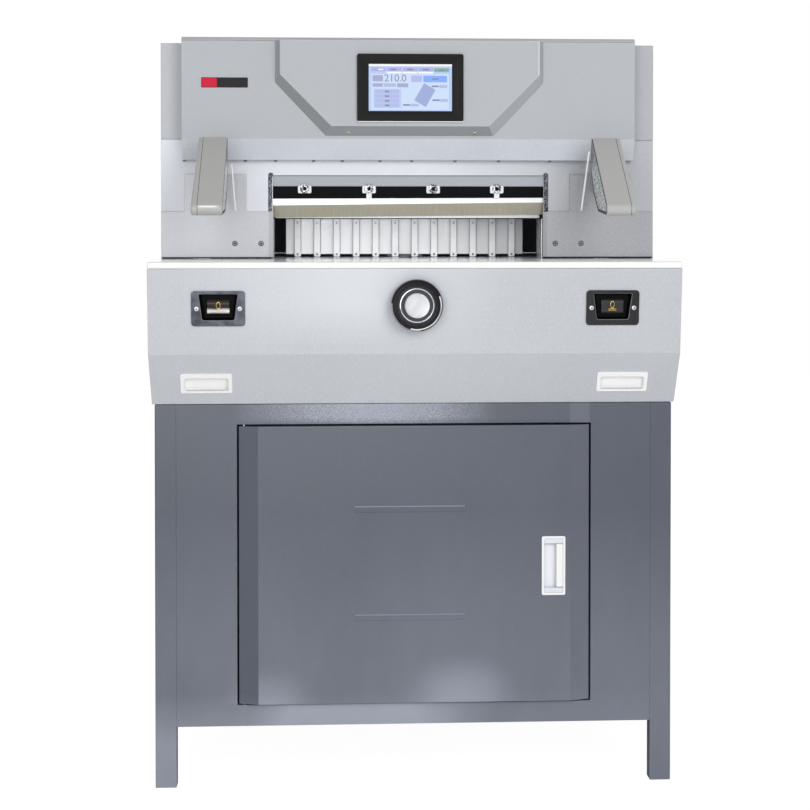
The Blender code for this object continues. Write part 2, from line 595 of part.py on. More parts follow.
def make_table(steel, white, stick_material):
    """The T-shaped table with its slots, its front trim and the cutting stick in its groove."""
    half, rear_half = TABLE_WIDTH / 2, TABLE_REAR_WIDTH / 2
    front = TRIM_DEPTH + SEAT_GAP
    outline = [(-half, front), (half, front), (half, TABLE_WIDE_DEPTH), (rear_half, TABLE_WIDE_DEPTH),
               (rear_half, TABLE_DEPTH), (-rear_half, TABLE_DEPTH), (-rear_half, TABLE_WIDE_DEPTH),
               (-half, TABLE_WIDE_DEPTH)]
    bm = bmesh.new()
    low = TABLE_TOP - TABLE_THICK
    add_prism(bm, outline, "z", low, TABLE_TOP)
    table = new_object("table", bm, steel)
    cut_box(table, (-SLOT_WIDTH / 2, SLOT_FRONT, low - CUT_OVER),
            (SLOT_WIDTH / 2, SLOT_REAR, TABLE_TOP + CUT_OVER))
    rod_low, rod_high = rod_depths()
    for side in (-1, 1):
        x0, x1 = sorted((side * (ROD_X - ROD_WIDTH / 2) - side * CUT_OVER,
                         side * (ROD_X + ROD_WIDTH / 2) + side * CUT_OVER))
        cut_box(table, (x0, rod_low - CUT_OVER, low - CUT_OVER),
                (x1, rod_high + CUT_OVER, TABLE_TOP + CUT_OVER))
    stick_d = BLADE_FRONT + BLADE_THICK
    groove = (STICK_WIDTH + SEAT_GAP) / 2 + SEAT_GAP
    cut_box(table, (-STICK_LENGTH / 2 - SEAT_GAP, stick_d - groove, TABLE_TOP - STICK_HEIGHT - SEAT_GAP),
            (STICK_LENGTH / 2 + SEAT_GAP, stick_d + groove, TABLE_TOP + CUT_OVER))
    box_piece("cutting_stick", (-STICK_LENGTH / 2, stick_d - STICK_WIDTH / 2, TABLE_TOP - STICK_HEIGHT),
              (STICK_LENGTH / 2, stick_d + STICK_WIDTH / 2, TABLE_TOP), stick_material)
    box_piece("table_trim", (-half, 0, TABLE_TOP - TRIM_HEIGHT), (half, TRIM_DEPTH, TABLE_TOP), white)


def apron_depth(height):
    """Depth of the apron's face at a height."""
    if height > APRON_CREASE_HEIGHT:
        share = (APRON_TOP_HEIGHT - height) / (APRON_TOP_HEIGHT - APRON_CREASE_HEIGHT)
        return APRON_SETBACK + share * (APRON_CREASE_DEPTH - APRON_SETBACK)
    share = (APRON_CREASE_HEIGHT - height) / (APRON_CREASE_HEIGHT - APRON_BOTTOM_HEIGHT)
    return APRON_CREASE_DEPTH + share * (APRON_BOTTOM_DEPTH - APRON_CREASE_DEPTH)


def upper_tilt():
    """Lean of the apron's upper panel."""
    return math.atan2(APRON_CREASE_DEPTH - APRON_SETBACK, APRON_TOP_HEIGHT - APRON_CREASE_HEIGHT)


def lower_tilt():
    """Lean of the apron's lower panel."""
    return math.atan2(APRON_BOTTOM_DEPTH - APRON_CREASE_DEPTH, APRON_CREASE_HEIGHT - APRON_BOTTOM_HEIGHT)


def make_apron(paint):
    """The folded front cover, open at the back, with holes for what it carries."""
    half = TABLE_WIDTH / 2
    top = TABLE_TOP - TRIM_HEIGHT - SEAT_GAP
    low = APRON_BOTTOM_HEIGHT + SEAT_GAP
    trim_back = TRIM_DEPTH + SEAT_GAP
    outline = [(APRON_SETBACK, top), (APRON_CREASE_DEPTH, APRON_CREASE_HEIGHT), (apron_depth(low), low),
               (APRON_CHEEK_DEPTH, low), (APRON_CHEEK_DEPTH, TABLE_TOP - TABLE_THICK - SEAT_GAP),
               (trim_back, TABLE_TOP - TABLE_THICK - SEAT_GAP), (trim_back, top)]
    bm = bmesh.new()
    add_prism(bm, outline, "x", -half, half)
    apron = new_object("apron", bm, paint)
    inner_low = low + SHEET
    inner = [(apron_depth(top) + SHEET, TABLE_TOP - TABLE_THICK - SHEET),
             (APRON_CREASE_DEPTH + SHEET, APRON_CREASE_HEIGHT),
             (apron_depth(inner_low) + SHEET, inner_low), (APRON_CHEEK_DEPTH + CUT_OVER, inner_low),
             (APRON_CHEEK_DEPTH + CUT_OVER, TABLE_TOP - TABLE_THICK - SHEET)]
    bm = bmesh.new()
    add_prism(bm, inner, "x", -half + SHEET, half - SHEET)
    combine(apron, bm, "DIFFERENCE")
    # The cabinet's sides stand behind the sheet, so its folds stop short of them.
    fold = APRON_BOTTOM_DEPTH + CABINET_UPPER_SETBACK / 2
    cut_box(apron, (-half + SHEET, fold, low - CUT_OVER), (half - SHEET, APRON_CHEEK_DEPTH + CUT_OVER, top))
    for side in (-1, 1):
        cut_tilted(apron, (side * BUTTON_X, BUTTON_HEIGHT), upper_tilt(),
                   RECESS_TOP_WIDTH / 2 + BEZEL_CUP_MARGIN,
                   RECESS_HEIGHT / 2 + BEZEL_CUP_MARGIN)
        cut_tilted(apron, (side * PULL_X, PULL_HEIGHT), lower_tilt(), PULL_RECESS_WIDTH / 2 + PULL_WALL,
                   PULL_RECESS_TALL / 2 + PULL_WALL)
    cut_rod(apron, (0, -CUT_OVER, WHEEL_HEIGHT), (0, APRON_CREASE_DEPTH + CUT_OVER, WHEEL_HEIGHT),
            SCREW_RADIUS + CUT_OVER)


def cut_tilted(obj, place, tilt, half_width, half_height):
    """Cuts a rectangular hole square to one of the apron's panels."""
    x, height = place
    bm = bmesh.new()
    reach = SHEET + CUT_OVER
    add_box(bm, (-half_width - SEAT_GAP, -reach, -half_height - SEAT_GAP),
            (half_width + SEAT_GAP, reach, half_height + SEAT_GAP))
    bmesh.ops.rotate(bm, verts=bm.verts, cent=(0, 0, 0), matrix=Matrix.Rotation(tilt, 3, "X"))
    bmesh.ops.translate(bm, verts=bm.verts, vec=(x, apron_depth(height), height))
    combine(obj, bm, "DIFFERENCE")


def make_button(side, name, black, metal):
    """A bezel with a tapered recess, and the button that slides in its floor."""
    tilt = upper_tilt()
    pivot = (side * BUTTON_X, apron_depth(BUTTON_HEIGHT), BUTTON_HEIGHT)
    back = -SEAT_GAP
    bm = bmesh.new()
    add_box(bm, (-BEZEL_WIDTH / 2, -BEZEL_PROUD, -BEZEL_HEIGHT / 2),
            (BEZEL_WIDTH / 2, back, BEZEL_HEIGHT / 2))
    bezel = new_object("button_bezel_" + name, bm, black, pivot, tilt)
    cup_x, cup_z = RECESS_TOP_WIDTH / 2 + BEZEL_CUP_MARGIN, RECESS_HEIGHT / 2 + BEZEL_CUP_MARGIN
    floor = -BEZEL_PROUD + RECESS_DEEP
    bm = bmesh.new()
    add_box(bm, (-cup_x, -BEZEL_PROUD / 2, -cup_z), (cup_x, floor + BEZEL_FLOOR, cup_z))
    combine(bezel, bm, "UNION")
    outline = [(-RECESS_BOTTOM_WIDTH / 2, -RECESS_HEIGHT / 2),
               (RECESS_BOTTOM_WIDTH / 2, -RECESS_HEIGHT / 2),
               (RECESS_TOP_WIDTH / 2, RECESS_HEIGHT / 2), (-RECESS_TOP_WIDTH / 2, RECESS_HEIGHT / 2)]
    bm = bmesh.new()
    add_prism(bm, outline, "y", -BEZEL_PROUD - CUT_OVER, floor)
    combine(bezel, bm, "DIFFERENCE")
    gap = RUN_GAP
    bm = bmesh.new()
    add_box(bm, (-BUTTON_WIDTH / 2 - gap, floor - CUT_OVER / 2, -BUTTON_TALL / 2 - gap),
            (BUTTON_WIDTH / 2 + gap, floor + BEZEL_FLOOR + CUT_OVER, BUTTON_TALL / 2 + gap))
    combine(bezel, bm, "DIFFERENCE")
    bm = bmesh.new()
    add_box(bm, (-BUTTON_WIDTH / 2, floor - BUTTON_STICK_OUT, -BUTTON_TALL / 2),
            (BUTTON_WIDTH / 2, floor + BUTTON_STEM, BUTTON_TALL / 2))
    new_object("button_" + name, bm, metal, pivot, tilt)


def make_pull(side, name, plastic):
    """A flush cup in the slanted panel."""
    pivot = (side * PULL_X, apron_depth(PULL_HEIGHT), PULL_HEIGHT)
    bm = bmesh.new()
    add_box(bm, (-PULL_WIDTH / 2, -PULL_PROUD, -PULL_TALL / 2), (PULL_WIDTH / 2, -SEAT_GAP, PULL_TALL / 2))
    pull = new_object("pull_" + name, bm, plastic, pivot, lower_tilt())
    cup_x, cup_z = PULL_RECESS_WIDTH / 2 + PULL_WALL, PULL_RECESS_TALL / 2 + PULL_WALL
    bm = bmesh.new()
    add_box(bm, (-cup_x, -PULL_PROUD / 2, -cup_z), (cup_x, PULL_DEEP + PULL_WALL, cup_z))
    combine(pull, bm, "UNION")
    bm = bmesh.new()
    add_box(bm, (-cup_x + PULL_WALL, -PULL_PROUD - CUT_OVER, -cup_z + PULL_WALL),
            (cup_x - PULL_WALL, PULL_DEEP, cup_z - PULL_WALL))
    combine(pull, bm, "DIFFERENCE")


# Face, guards, columns and head

def make_face(paint, guard_paint):
    """The face plate round the throat, and the guards on it."""
    half, throat = TABLE_WIDTH / 2, THROAT_WIDTH / 2
    low = TABLE_TOP + SEAT_GAP
    notch = FACE_NOTCH_WIDTH / 2
    spring = LINTEL_HEIGHT + FACE_NOTCH_HEIGHT - notch
    right_notch = [(throat, low)] + arc((throat - notch, spring), notch, 0, 180)
    left_notch = arc((-throat + notch, spring), notch, 0, 180) + [(-throat, low)]
    outline = ([(-half, low), (-half, FACE_TOP), (half, FACE_TOP), (half, low)] + right_notch
               + [(throat - FACE_NOTCH_WIDTH, LINTEL_HEIGHT),
                  (-throat + FACE_NOTCH_WIDTH, LINTEL_HEIGHT)] + left_notch)
    bm = bmesh.new()
    add_prism(bm, outline, "y", FACE_DEPTH, FACE_DEPTH + FACE_THICK)
    new_object("face_plate", bm, paint)
    for name, side in (("guard_left", -1), ("guard_right", 1)):
        outer, inner = half - GUARD_SIDE_INSET, throat - GUARD_INWARD
        low = TABLE_TOP + GUARD_LIFT
        points = [(inner, low), (outer, low), (outer, GUARD_TOP), (PAD_OUTER_X, GUARD_TOP),
                  (PAD_OUTER_X, PAD_TOP),
                  (PAD_INNER_X, PAD_TOP), (PAD_INNER_X, GUARD_TOP), (inner, GUARD_TOP)]
        bm = bmesh.new()
        add_prism(bm, [(side * x, z) for x, z in points], "y", FACE_DEPTH - SEAT_GAP - GUARD_THICK,
                  FACE_DEPTH - SEAT_GAP)
        new_object(name, bm, guard_paint)


def make_columns(paint, steel):
    """The side castings and the beam that ties them."""
    step = FACE_DEPTH + FACE_THICK + SEAT_GAP
    rear = FACE_DEPTH + COLUMN_DEPTH
    low = TABLE_TOP + SEAT_GAP
    outline = [(step, low), (rear, low), (rear, COLUMN_TOP), (FACE_DEPTH, COLUMN_TOP),
               (FACE_DEPTH, FACE_TOP + SEAT_GAP), (step, FACE_TOP + SEAT_GAP)]
    outer = TABLE_WIDTH / 2
    for name, side in (("column_left", -1), ("column_right", 1)):
        x0, x1 = sorted((side * outer, side * (outer - COLUMN_WIDTH)))
        bm = bmesh.new()
        add_prism(bm, outline, "x", x0, x1)
        column = new_object(name, bm, paint)
        guide = side * (KNIFE_BAR_LENGTH / 2 + RUN_GAP)
        x0, x1 = sorted((guide, side * (outer - COLUMN_WIDTH / 2)))
        bm = bmesh.new()
        add_box(bm, (x0, KNIFE_BAR_FRONT, KNIFE_GUIDE_LOW),
                (x1, BLADE_FRONT + BLADE_THICK, FACE_TOP - SEAT_GAP))
        combine(column, bm, "UNION")
    inside = outer - COLUMN_WIDTH - SEAT_GAP
    middle = clamp_middle()
    beam = box_piece("upper_beam", (-inside, middle - BEAM_DEPTH / 2, BEAM_LOW),
                     (inside, middle + BEAM_DEPTH / 2, BEAM_HIGH), steel)
    cut_rod(beam, (0, middle, BEAM_LOW - CUT_OVER), (0, middle, BEAM_HIGH + CUT_OVER),
            CLAMP_SCREW_RADIUS + RUN_GAP)
    for name, side in (("clamp_guide_left", -1), ("clamp_guide_right", 1)):
        place = (side * CLAMP_GUIDE_X, middle)
        rod_piece(name, (*place, TABLE_TOP + SEAT_GAP), (*place, BEAM_LOW - SEAT_GAP), CLAMP_GUIDE_RADIUS,
                  steel)


def clamp_middle():
    """Depth of the clamp's centre line."""
    return CLAMP_FRONT + CLAMP_DEPTH / 2


def make_head(paint):
    """Front cover with its slanted lower band, the rear cover, and the hood over the rear table."""
    half = TABLE_WIDTH / 2 - COLUMN_WIDTH - 2 * SEAT_GAP
    lip_back = FACE_DEPTH - SEAT_GAP
    split = HEAD_SPLIT_DEPTH
    top = HEAD_TOP
    corner = arc((HEAD_FRONT + HEAD_ROUND, top - HEAD_ROUND), HEAD_ROUND, 180, 90)
    # Between the columns the cover hangs in front of the face plate.
    outline = ([(HEAD_LIP_DEPTH, HEAD_LIP_HEIGHT), (HEAD_FRONT, FACE_TOP)] + corner
               + [(split, top), (split, FACE_TOP + SHEET), (lip_back, FACE_TOP + SHEET),
                  (lip_back, HEAD_LIP_HEIGHT)])
    bm = bmesh.new()
    add_prism(bm, outline, "x", -half, half)
    cover = new_object("head_cover", bm, paint)
    inner_top = top - SHEET
    inner = [(HEAD_LIP_DEPTH + SHEET, HEAD_LIP_HEIGHT - CUT_OVER),
             (HEAD_LIP_DEPTH + SHEET, HEAD_LIP_HEIGHT),
             (HEAD_FRONT + SHEET, FACE_TOP), (HEAD_FRONT + SHEET, inner_top - HEAD_ROUND),
             (HEAD_FRONT + HEAD_ROUND, inner_top), (split + CUT_OVER, inner_top),
             (split + CUT_OVER, FACE_TOP - CUT_OVER), (lip_back + CUT_OVER, FACE_TOP - CUT_OVER),
             (lip_back + CUT_OVER, HEAD_LIP_HEIGHT - CUT_OVER)]
    bm = bmesh.new()
    add_prism(bm, inner, "x", -half + SHEET, half - SHEET)
    combine(cover, bm, "DIFFERENCE")
    # Its ends show in front of the columns and over them; the beam reaches the castings between.
    cut_box(cover, (-half - CUT_OVER, lip_back, FACE_TOP - CUT_OVER),
            (half + CUT_OVER, split + CUT_OVER, COLUMN_TOP - SHEET))

    rear = FACE_DEPTH + COLUMN_DEPTH
    front = split + SEAT_GAP
    bm = bmesh.new()
    add_box(bm, (-half, front, HEAD_REAR_LOW), (half, rear, top))
    cover = new_object("head_rear_cover", bm, paint)
    cut_box(cover, (-half + SHEET, front - CUT_OVER, HEAD_REAR_LOW - CUT_OVER),
            (half - SHEET, rear - SHEET, top - SHEET))

    front = rear + SEAT_GAP
    back = TABLE_DEPTH - HOOD_REAR_INSET
    hood_half = HOOD_WIDTH / 2
    bm = bmesh.new()
    add_box(bm, (-hood_half, front, TABLE_TOP + SEAT_GAP), (hood_half, back, HOOD_TOP))
    hood = new_object("rear_hood", bm, paint)
    cut_box(hood, (-hood_half + SHEET, front - CUT_OVER, TABLE_TOP - CUT_OVER),
            (hood_half - SHEET, back - SHEET, HOOD_TOP - SHEET))


def console_loop(bm, inset, low_inset, depth):
    """Six corners of the console at one depth."""
    half, low_half = CONSOLE_WIDTH / 2 - inset, CONSOLE_BOTTOM_WIDTH / 2 - inset
    shoulder = CONSOLE_SHOULDER + CONSOLE_SHOULDER_DROP * inset / CONSOLE_BEVEL
    points = [(-half, CONSOLE_TOP), (-half, shoulder), (-low_half, CONSOLE_BOTTOM + low_inset),
              (low_half, CONSOLE_BOTTOM + low_inset), (half, shoulder), (half, CONSOLE_TOP)]
    return [bm.verts.new((x, depth, z)) for x, z in points]


def add_console_block(bm, back, front, margin):
    """A block with bevelled sides; margin draws it in on every side but the back."""
    outer = console_loop(bm, margin, margin, back)
    inner = console_loop(bm, CONSOLE_BEVEL + margin, CONSOLE_LOW_BEVEL + margin, front)
    if margin:
        for loop in (outer, inner):
            for vert in (loop[0], loop[-1]):
                vert.co.z -= margin
    bm.faces.new(outer)
    bm.faces.new(inner)
    for i in range(len(outer)):
        j = (i + 1) % len(outer)
        bm.faces.new((outer[i], outer[j], inner[j], inner[i]))


def make_console(paint, black, display):
    """The raised console, its panel's bezel and the screen."""
    back = HEAD_FRONT - SEAT_GAP
    front = HEAD_FRONT - CONSOLE_PROUD
    bm = bmesh.new()
    add_console_block(bm, back, front, 0)
    console = new_object("console", bm, paint)
    bm = bmesh.new()
    add_console_block(bm, back + CUT_OVER, front + SHEET, SHEET)
    combine(console, bm, "DIFFERENCE")
    face = front - SEAT_GAP
    half_w, half_h = PANEL_WIDTH / 2, PANEL_HEIGHT / 2
    screen_w, screen_h = SCREEN_WIDTH / 2, SCREEN_HEIGHT / 2
    bm = bmesh.new()
    add_box(bm, (-half_w, face - PANEL_PROUD, PANEL_CENTRE - half_h), (half_w, face, PANEL_CENTRE + half_h))
    bezel = new_object("panel_bezel", bm, black)
    cut_box(bezel,
            (-screen_w - SEAT_GAP, face - PANEL_PROUD - CUT_OVER, PANEL_CENTRE - screen_h - SEAT_GAP),
            (screen_w + SEAT_GAP, face - SCREEN_THICK, PANEL_CENTRE + screen_h + SEAT_GAP))
    box_piece("touch_screen", (-screen_w, face - 2 * SCREEN_THICK - SEAT_GAP, PANEL_CENTRE - screen_h),
              (screen_w, face - SCREEN_THICK - SEAT_GAP, PANEL_CENTRE + screen_h), display)


def make_arm(side, name, plastic, clear):
    """A curved arm that carries the light curtain, and the clear shield behind it."""
    outer, inner = ARM_X + ARM_WIDTH / 2, ARM_X - ARM_WIDTH / 2
    centre = (ARM_LOW_DEPTH + ARM_TOE_RADIUS, ARM_LOW_HEIGHT + ARM_TOE_RADIUS)
    toe = arc(centre, ARM_TOE_RADIUS, touch_angle(centre, (ARM_TOP_DEPTH, ARM_TOP_HEIGHT), ARM_TOE_RADIUS, 1),
              360 + touch_angle(centre, (ARM_HEEL_DEPTH, ARM_HEEL_HEIGHT), ARM_TOE_RADIUS, -1))
    profile = [(ARM_TOP_DEPTH, ARM_TOP_HEIGHT)] + toe + [(ARM_HEEL_DEPTH, ARM_HEEL_HEIGHT),
               (ARM_BELLY_DEPTH - (ARM_BELLY_DEPTH - ARM_HEEL_DEPTH) / 3,
                (ARM_BELLY_HEIGHT + ARM_HEEL_HEIGHT) / 2),
               (ARM_BELLY_DEPTH, ARM_BELLY_HEIGHT),
               (ARM_BELLY_DEPTH + HEAD_ROUND / 2, (ARM_BELLY_HEIGHT + ARM_TOP_HEIGHT) / 2),
               (ARM_TOP_DEPTH + HEAD_ROUND, ARM_TOP_HEIGHT)]
    x0, x1 = sorted((side * inner, side * outer))
    bm = bmesh.new()
    add_prism(bm, profile, "x", x0, x1)
    arm = new_object("arm_" + name, bm, plastic)
    foot_back = FACE_DEPTH - GUARD_THICK - 2 * SEAT_GAP
    x0, x1 = sorted((side * (ARM_X - ARM_FOOT_WIDTH / 2), side * (ARM_X + ARM_FOOT_WIDTH / 2)))
    bm = bmesh.new()
    add_box(bm, (x0, ARM_BELLY_DEPTH - ARM_WIDTH / 2, ARM_FOOT_LOW), (x1, foot_back, ARM_FOOT_HIGH))
    combine(arm, bm, "UNION")
    plate = inner - SHIELD_ARM_GAP
    x0, x1 = sorted((side * plate, side * (plate - SHIELD_THICK)))
    points = [(SHIELD_FRONT, SHIELD_TOP_HEIGHT), (foot_back - SHIELD_FOOT, SHIELD_LOW_HEIGHT),
              (foot_back, SHIELD_LOW_HEIGHT), (foot_back, SHIELD_BACK_HEIGHT),
              (ARM_BELLY_DEPTH, SHIELD_TOP_HEIGHT)]
    bm = bmesh.new()
    add_prism(bm, points, "x", x0, x1)
    new_object("shield_" + name, bm, clear)


# Knife, clamp and gauge

def make_knife(bar_paint, blade_steel, rod_steel):
    """Knife bar with its dark foot, the blade, and the two rods that pull it down."""
    half = KNIFE_BAR_LENGTH / 2
    behind = BLADE_FRONT + BLADE_THICK + SEAT_GAP
    seat = BLADE_FRONT - SEAT_GAP
    outline = [(KNIFE_BAR_FRONT, KNIFE_BAR_LIP), (KNIFE_BAR_FRONT + KNIFE_BAR_STEP, KNIFE_BAR_LIP),
               (KNIFE_BAR_FRONT + KNIFE_BAR_STEP, KNIFE_BAR_FOOT), (seat, KNIFE_BAR_FOOT),
               (seat, BLADE_TOP + SEAT_GAP), (behind, BLADE_TOP + SEAT_GAP), (behind, KNIFE_BAR_TOP),
               (KNIFE_BAR_FRONT, KNIFE_BAR_TOP)]
    bm = bmesh.new()
    add_prism(bm, outline, "x", -half, half)
    new_object("knife_bar", bm, bar_paint)
    left = BLADE_EDGE_MIDDLE - BLADE_EDGE_RISE / 2
    right = BLADE_EDGE_MIDDLE + BLADE_EDGE_RISE / 2
    bm = bmesh.new()
    loops = []
    for x, edge in ((-BLADE_LENGTH / 2, left), (BLADE_LENGTH / 2, right)):
        points = [(BLADE_FRONT, edge + BLADE_BEVEL), (BLADE_FRONT, BLADE_TOP),
                  (BLADE_FRONT + BLADE_THICK, BLADE_TOP),
                  (BLADE_FRONT + BLADE_THICK, edge), (BLADE_FRONT + BLADE_THICK - SEAT_GAP, edge)]
        loops.append([bm.verts.new((x, d, z)) for d, z in points])
    bm.faces.new(loops[0])
    bm.faces.new(loops[1])
    for i in range(len(loops[0])):
        j = (i + 1) % len(loops[0])
        bm.faces.new((loops[0][i], loops[0][j], loops[1][j], loops[1][i]))
    new_object("blade", bm, blade_steel)
    near, far = rod_depths()
    radius = rocker_radius()
    rest_height = ROCKER_HEIGHT + radius * math.sin(ROCKER_SWING / 2)
    middle = (near + far) / 2
    for name, side in (("knife_rod_left", -1), ("knife_rod_right", 1)):
        x0, x1 = sorted((side * (ROD_X - ROD_WIDTH / 2), side * (ROD_X + ROD_WIDTH / 2)))
        pivot = (side * ROD_X, middle, rest_height)
        rod = box_piece(name, (x0, near, rest_height), (x1, far, KNIFE_BAR_TOP), rod_steel, pivot)
        bm = bmesh.new()
        add_box(bm, (x0, middle - ROD_YOKE_DEPTH / 2, rest_height - ROD_YOKE_HEIGHT / 2),
                (x1, middle + ROD_YOKE_DEPTH / 2, rest_height + ROD_YOKE_HEIGHT / 2), pivot)
        combine(rod, bm, "UNION")
        reach = radius * (1 - math.cos(ROCKER_SWING / 2)) / 2 + ROCKER_PIN_RADIUS + RUN_GAP
        rise = ROCKER_PIN_RADIUS + ROCKER_SLACK
        cut_box(rod, (x0 - CUT_OVER, middle - reach, rest_height - rise),
                (x1 + CUT_OVER, middle + reach, rest_height + rise), pivot)


def rod_depths():
    """Front and back of the knife rods, which lie against the knife bar."""
    near = BLADE_FRONT + BLADE_THICK + 2 * SEAT_GAP + RUN_GAP
    return near, near + ROD_DEPTH


def rocker_radius():
    """Arm length that gives the knife its travel."""
    return KNIFE_TRAVEL / (2 * math.sin(ROCKER_SWING / 2))


def rocker_depth():
    """Depth of the rocker shaft, which puts the pins' arc across the rods' middle."""
    near, far = rod_depths()
    return (near + far) / 2 - rocker_radius() * (1 + math.cos(ROCKER_SWING / 2)) / 2


def make_drive(steel, dark, motor_paint):
    """Rocker shaft with two arms, the worm gearbox that turns it, and its motor."""
    depth = rocker_depth()
    pivot = (0, depth, ROCKER_HEIGHT)
    radius = rocker_radius()
    arm_inner = ROD_X + ROD_WIDTH / 2 + RUN_GAP
    arm_outer = arm_inner + ROCKER_ARM_THICK
    bm = bmesh.new()
    add_rod(bm, (-arm_outer + SEAT_GAP, 0, 0), (arm_outer - SEAT_GAP, 0, 0), ROCKER_SHAFT_RADIUS)
    shaft = new_object("rocker_shaft", bm, steel, pivot)
    shade_round(shaft)
    angle = ROCKER_SWING / 2
    tip = (radius * math.cos(angle), radius * math.sin(angle))
    for side in (-1, 1):
        bm = bmesh.new()
        hub, eye = ROCKER_ARM_WIDTH * 3 / 4, ROCKER_ARM_WIDTH / 2
        degrees = math.degrees(angle)
        outline = arc((0, 0), hub, degrees + 90, degrees + 270, 2 * ARC_STEPS)
        outline += arc(tip, eye, degrees - 90, degrees + 90)
        x0, x1 = sorted((side * arm_inner, side * arm_outer))
        add_prism(bm, outline, "x", x0, x1)
        combine(shaft, bm, "UNION")
        bm = bmesh.new()
        add_rod(bm, (side * (arm_outer - ROCKER_ARM_THICK / 2), *tip),
                (side * (ROD_X - ROD_WIDTH / 2), *tip), ROCKER_PIN_RADIUS)
        combine(shaft, bm, "UNION")
    low = BASE_PLATE_TOP + SEAT_GAP
    box = box_piece("knife_gearbox", (-GEARBOX_WIDTH / 2, depth - GEARBOX_DEPTH / 2, low),
                    (GEARBOX_WIDTH / 2, depth + GEARBOX_DEPTH / 2, GEARBOX_TOP), dark)
    cut_rod(box, (-GEARBOX_WIDTH, depth, ROCKER_HEIGHT), (GEARBOX_WIDTH, depth, ROCKER_HEIGHT),
            ROCKER_SHAFT_RADIUS + RUN_GAP)
    start = depth + GEARBOX_DEPTH / 2 + SEAT_GAP
    rod_piece("knife_motor", (0, start, MOTOR_HEIGHT), (0, start + MOTOR_LENGTH, MOTOR_HEIGHT),
              MOTOR_RADIUS, motor_paint)


def make_clamp(cast, steel, motor_paint):
    """The clamp on its two guides, the screw that lowers it, and the gear motor over it."""
    half, arm = CLAMP_WIDTH / 2, CLAMP_ARM_WIDTH / 2
    middle = clamp_middle()
    outline = [(-half, CLAMP_LOW), (half, CLAMP_LOW), (half, CLAMP_ARM_LOW), (arm, CLAMP_ARM_LOW),
               (arm, CLAMP_TOP),
               (-arm, CLAMP_TOP), (-arm, CLAMP_ARM_LOW), (-half, CLAMP_ARM_LOW)]
    bm = bmesh.new()
    add_prism(bm, outline, "y", CLAMP_FRONT, CLAMP_FRONT + CLAMP_DEPTH)
    clamp = new_object("clamp", bm, cast)
    for side in (-1, 1):
        cut_rod(clamp, (side * CLAMP_GUIDE_X, middle, CLAMP_ARM_LOW - CUT_OVER),
                (side * CLAMP_GUIDE_X, middle, CLAMP_TOP + CUT_OVER), CLAMP_GUIDE_RADIUS + RUN_GAP)
    bore_end = CLAMP_TOP - CLAMP_SCREW_REACH - RUN_GAP
    cut_rod(clamp, (0, middle, bore_end), (0, middle, CLAMP_TOP + CUT_OVER), CLAMP_SCREW_RADIUS + RUN_GAP)
    box_low = BEAM_HIGH + SEAT_GAP
    box_high = box_low + CLAMP_GEARBOX_HEIGHT
    screw_top = (box_low + box_high) / 2
    screw = rod_piece("clamp_screw", (0, middle, CLAMP_TOP - CLAMP_SCREW_REACH), (0, middle, screw_top),
                      CLAMP_SCREW_RADIUS, steel)
    bm = bmesh.new()
    collar = BEAM_LOW - RUN_GAP - (CLAMP_TOP - CLAMP_SCREW_REACH)
    add_rod(bm, (0, 0, collar - CLAMP_SCREW_RADIUS), (0, 0, collar), CLAMP_SCREW_COLLAR)
    combine(screw, bm, "UNION")
    wide = CLAMP_GEARBOX_WIDTH / 2
    motor = box_piece("clamp_motor", (-wide, middle - wide, box_low), (wide, middle + wide, box_high),
                      motor_paint)
    bm = bmesh.new()
    axis = box_low + CLAMP_MOTOR_RADIUS
    add_rod(bm, (0, middle, axis), (wide + CLAMP_MOTOR_LENGTH, middle, axis), CLAMP_MOTOR_RADIUS)
    combine(motor, bm, "UNION")
    cut_rod(motor, (0, middle, box_low - CUT_OVER), (0, middle, screw_top + RUN_GAP),
            CLAMP_SCREW_RADIUS + RUN_GAP)


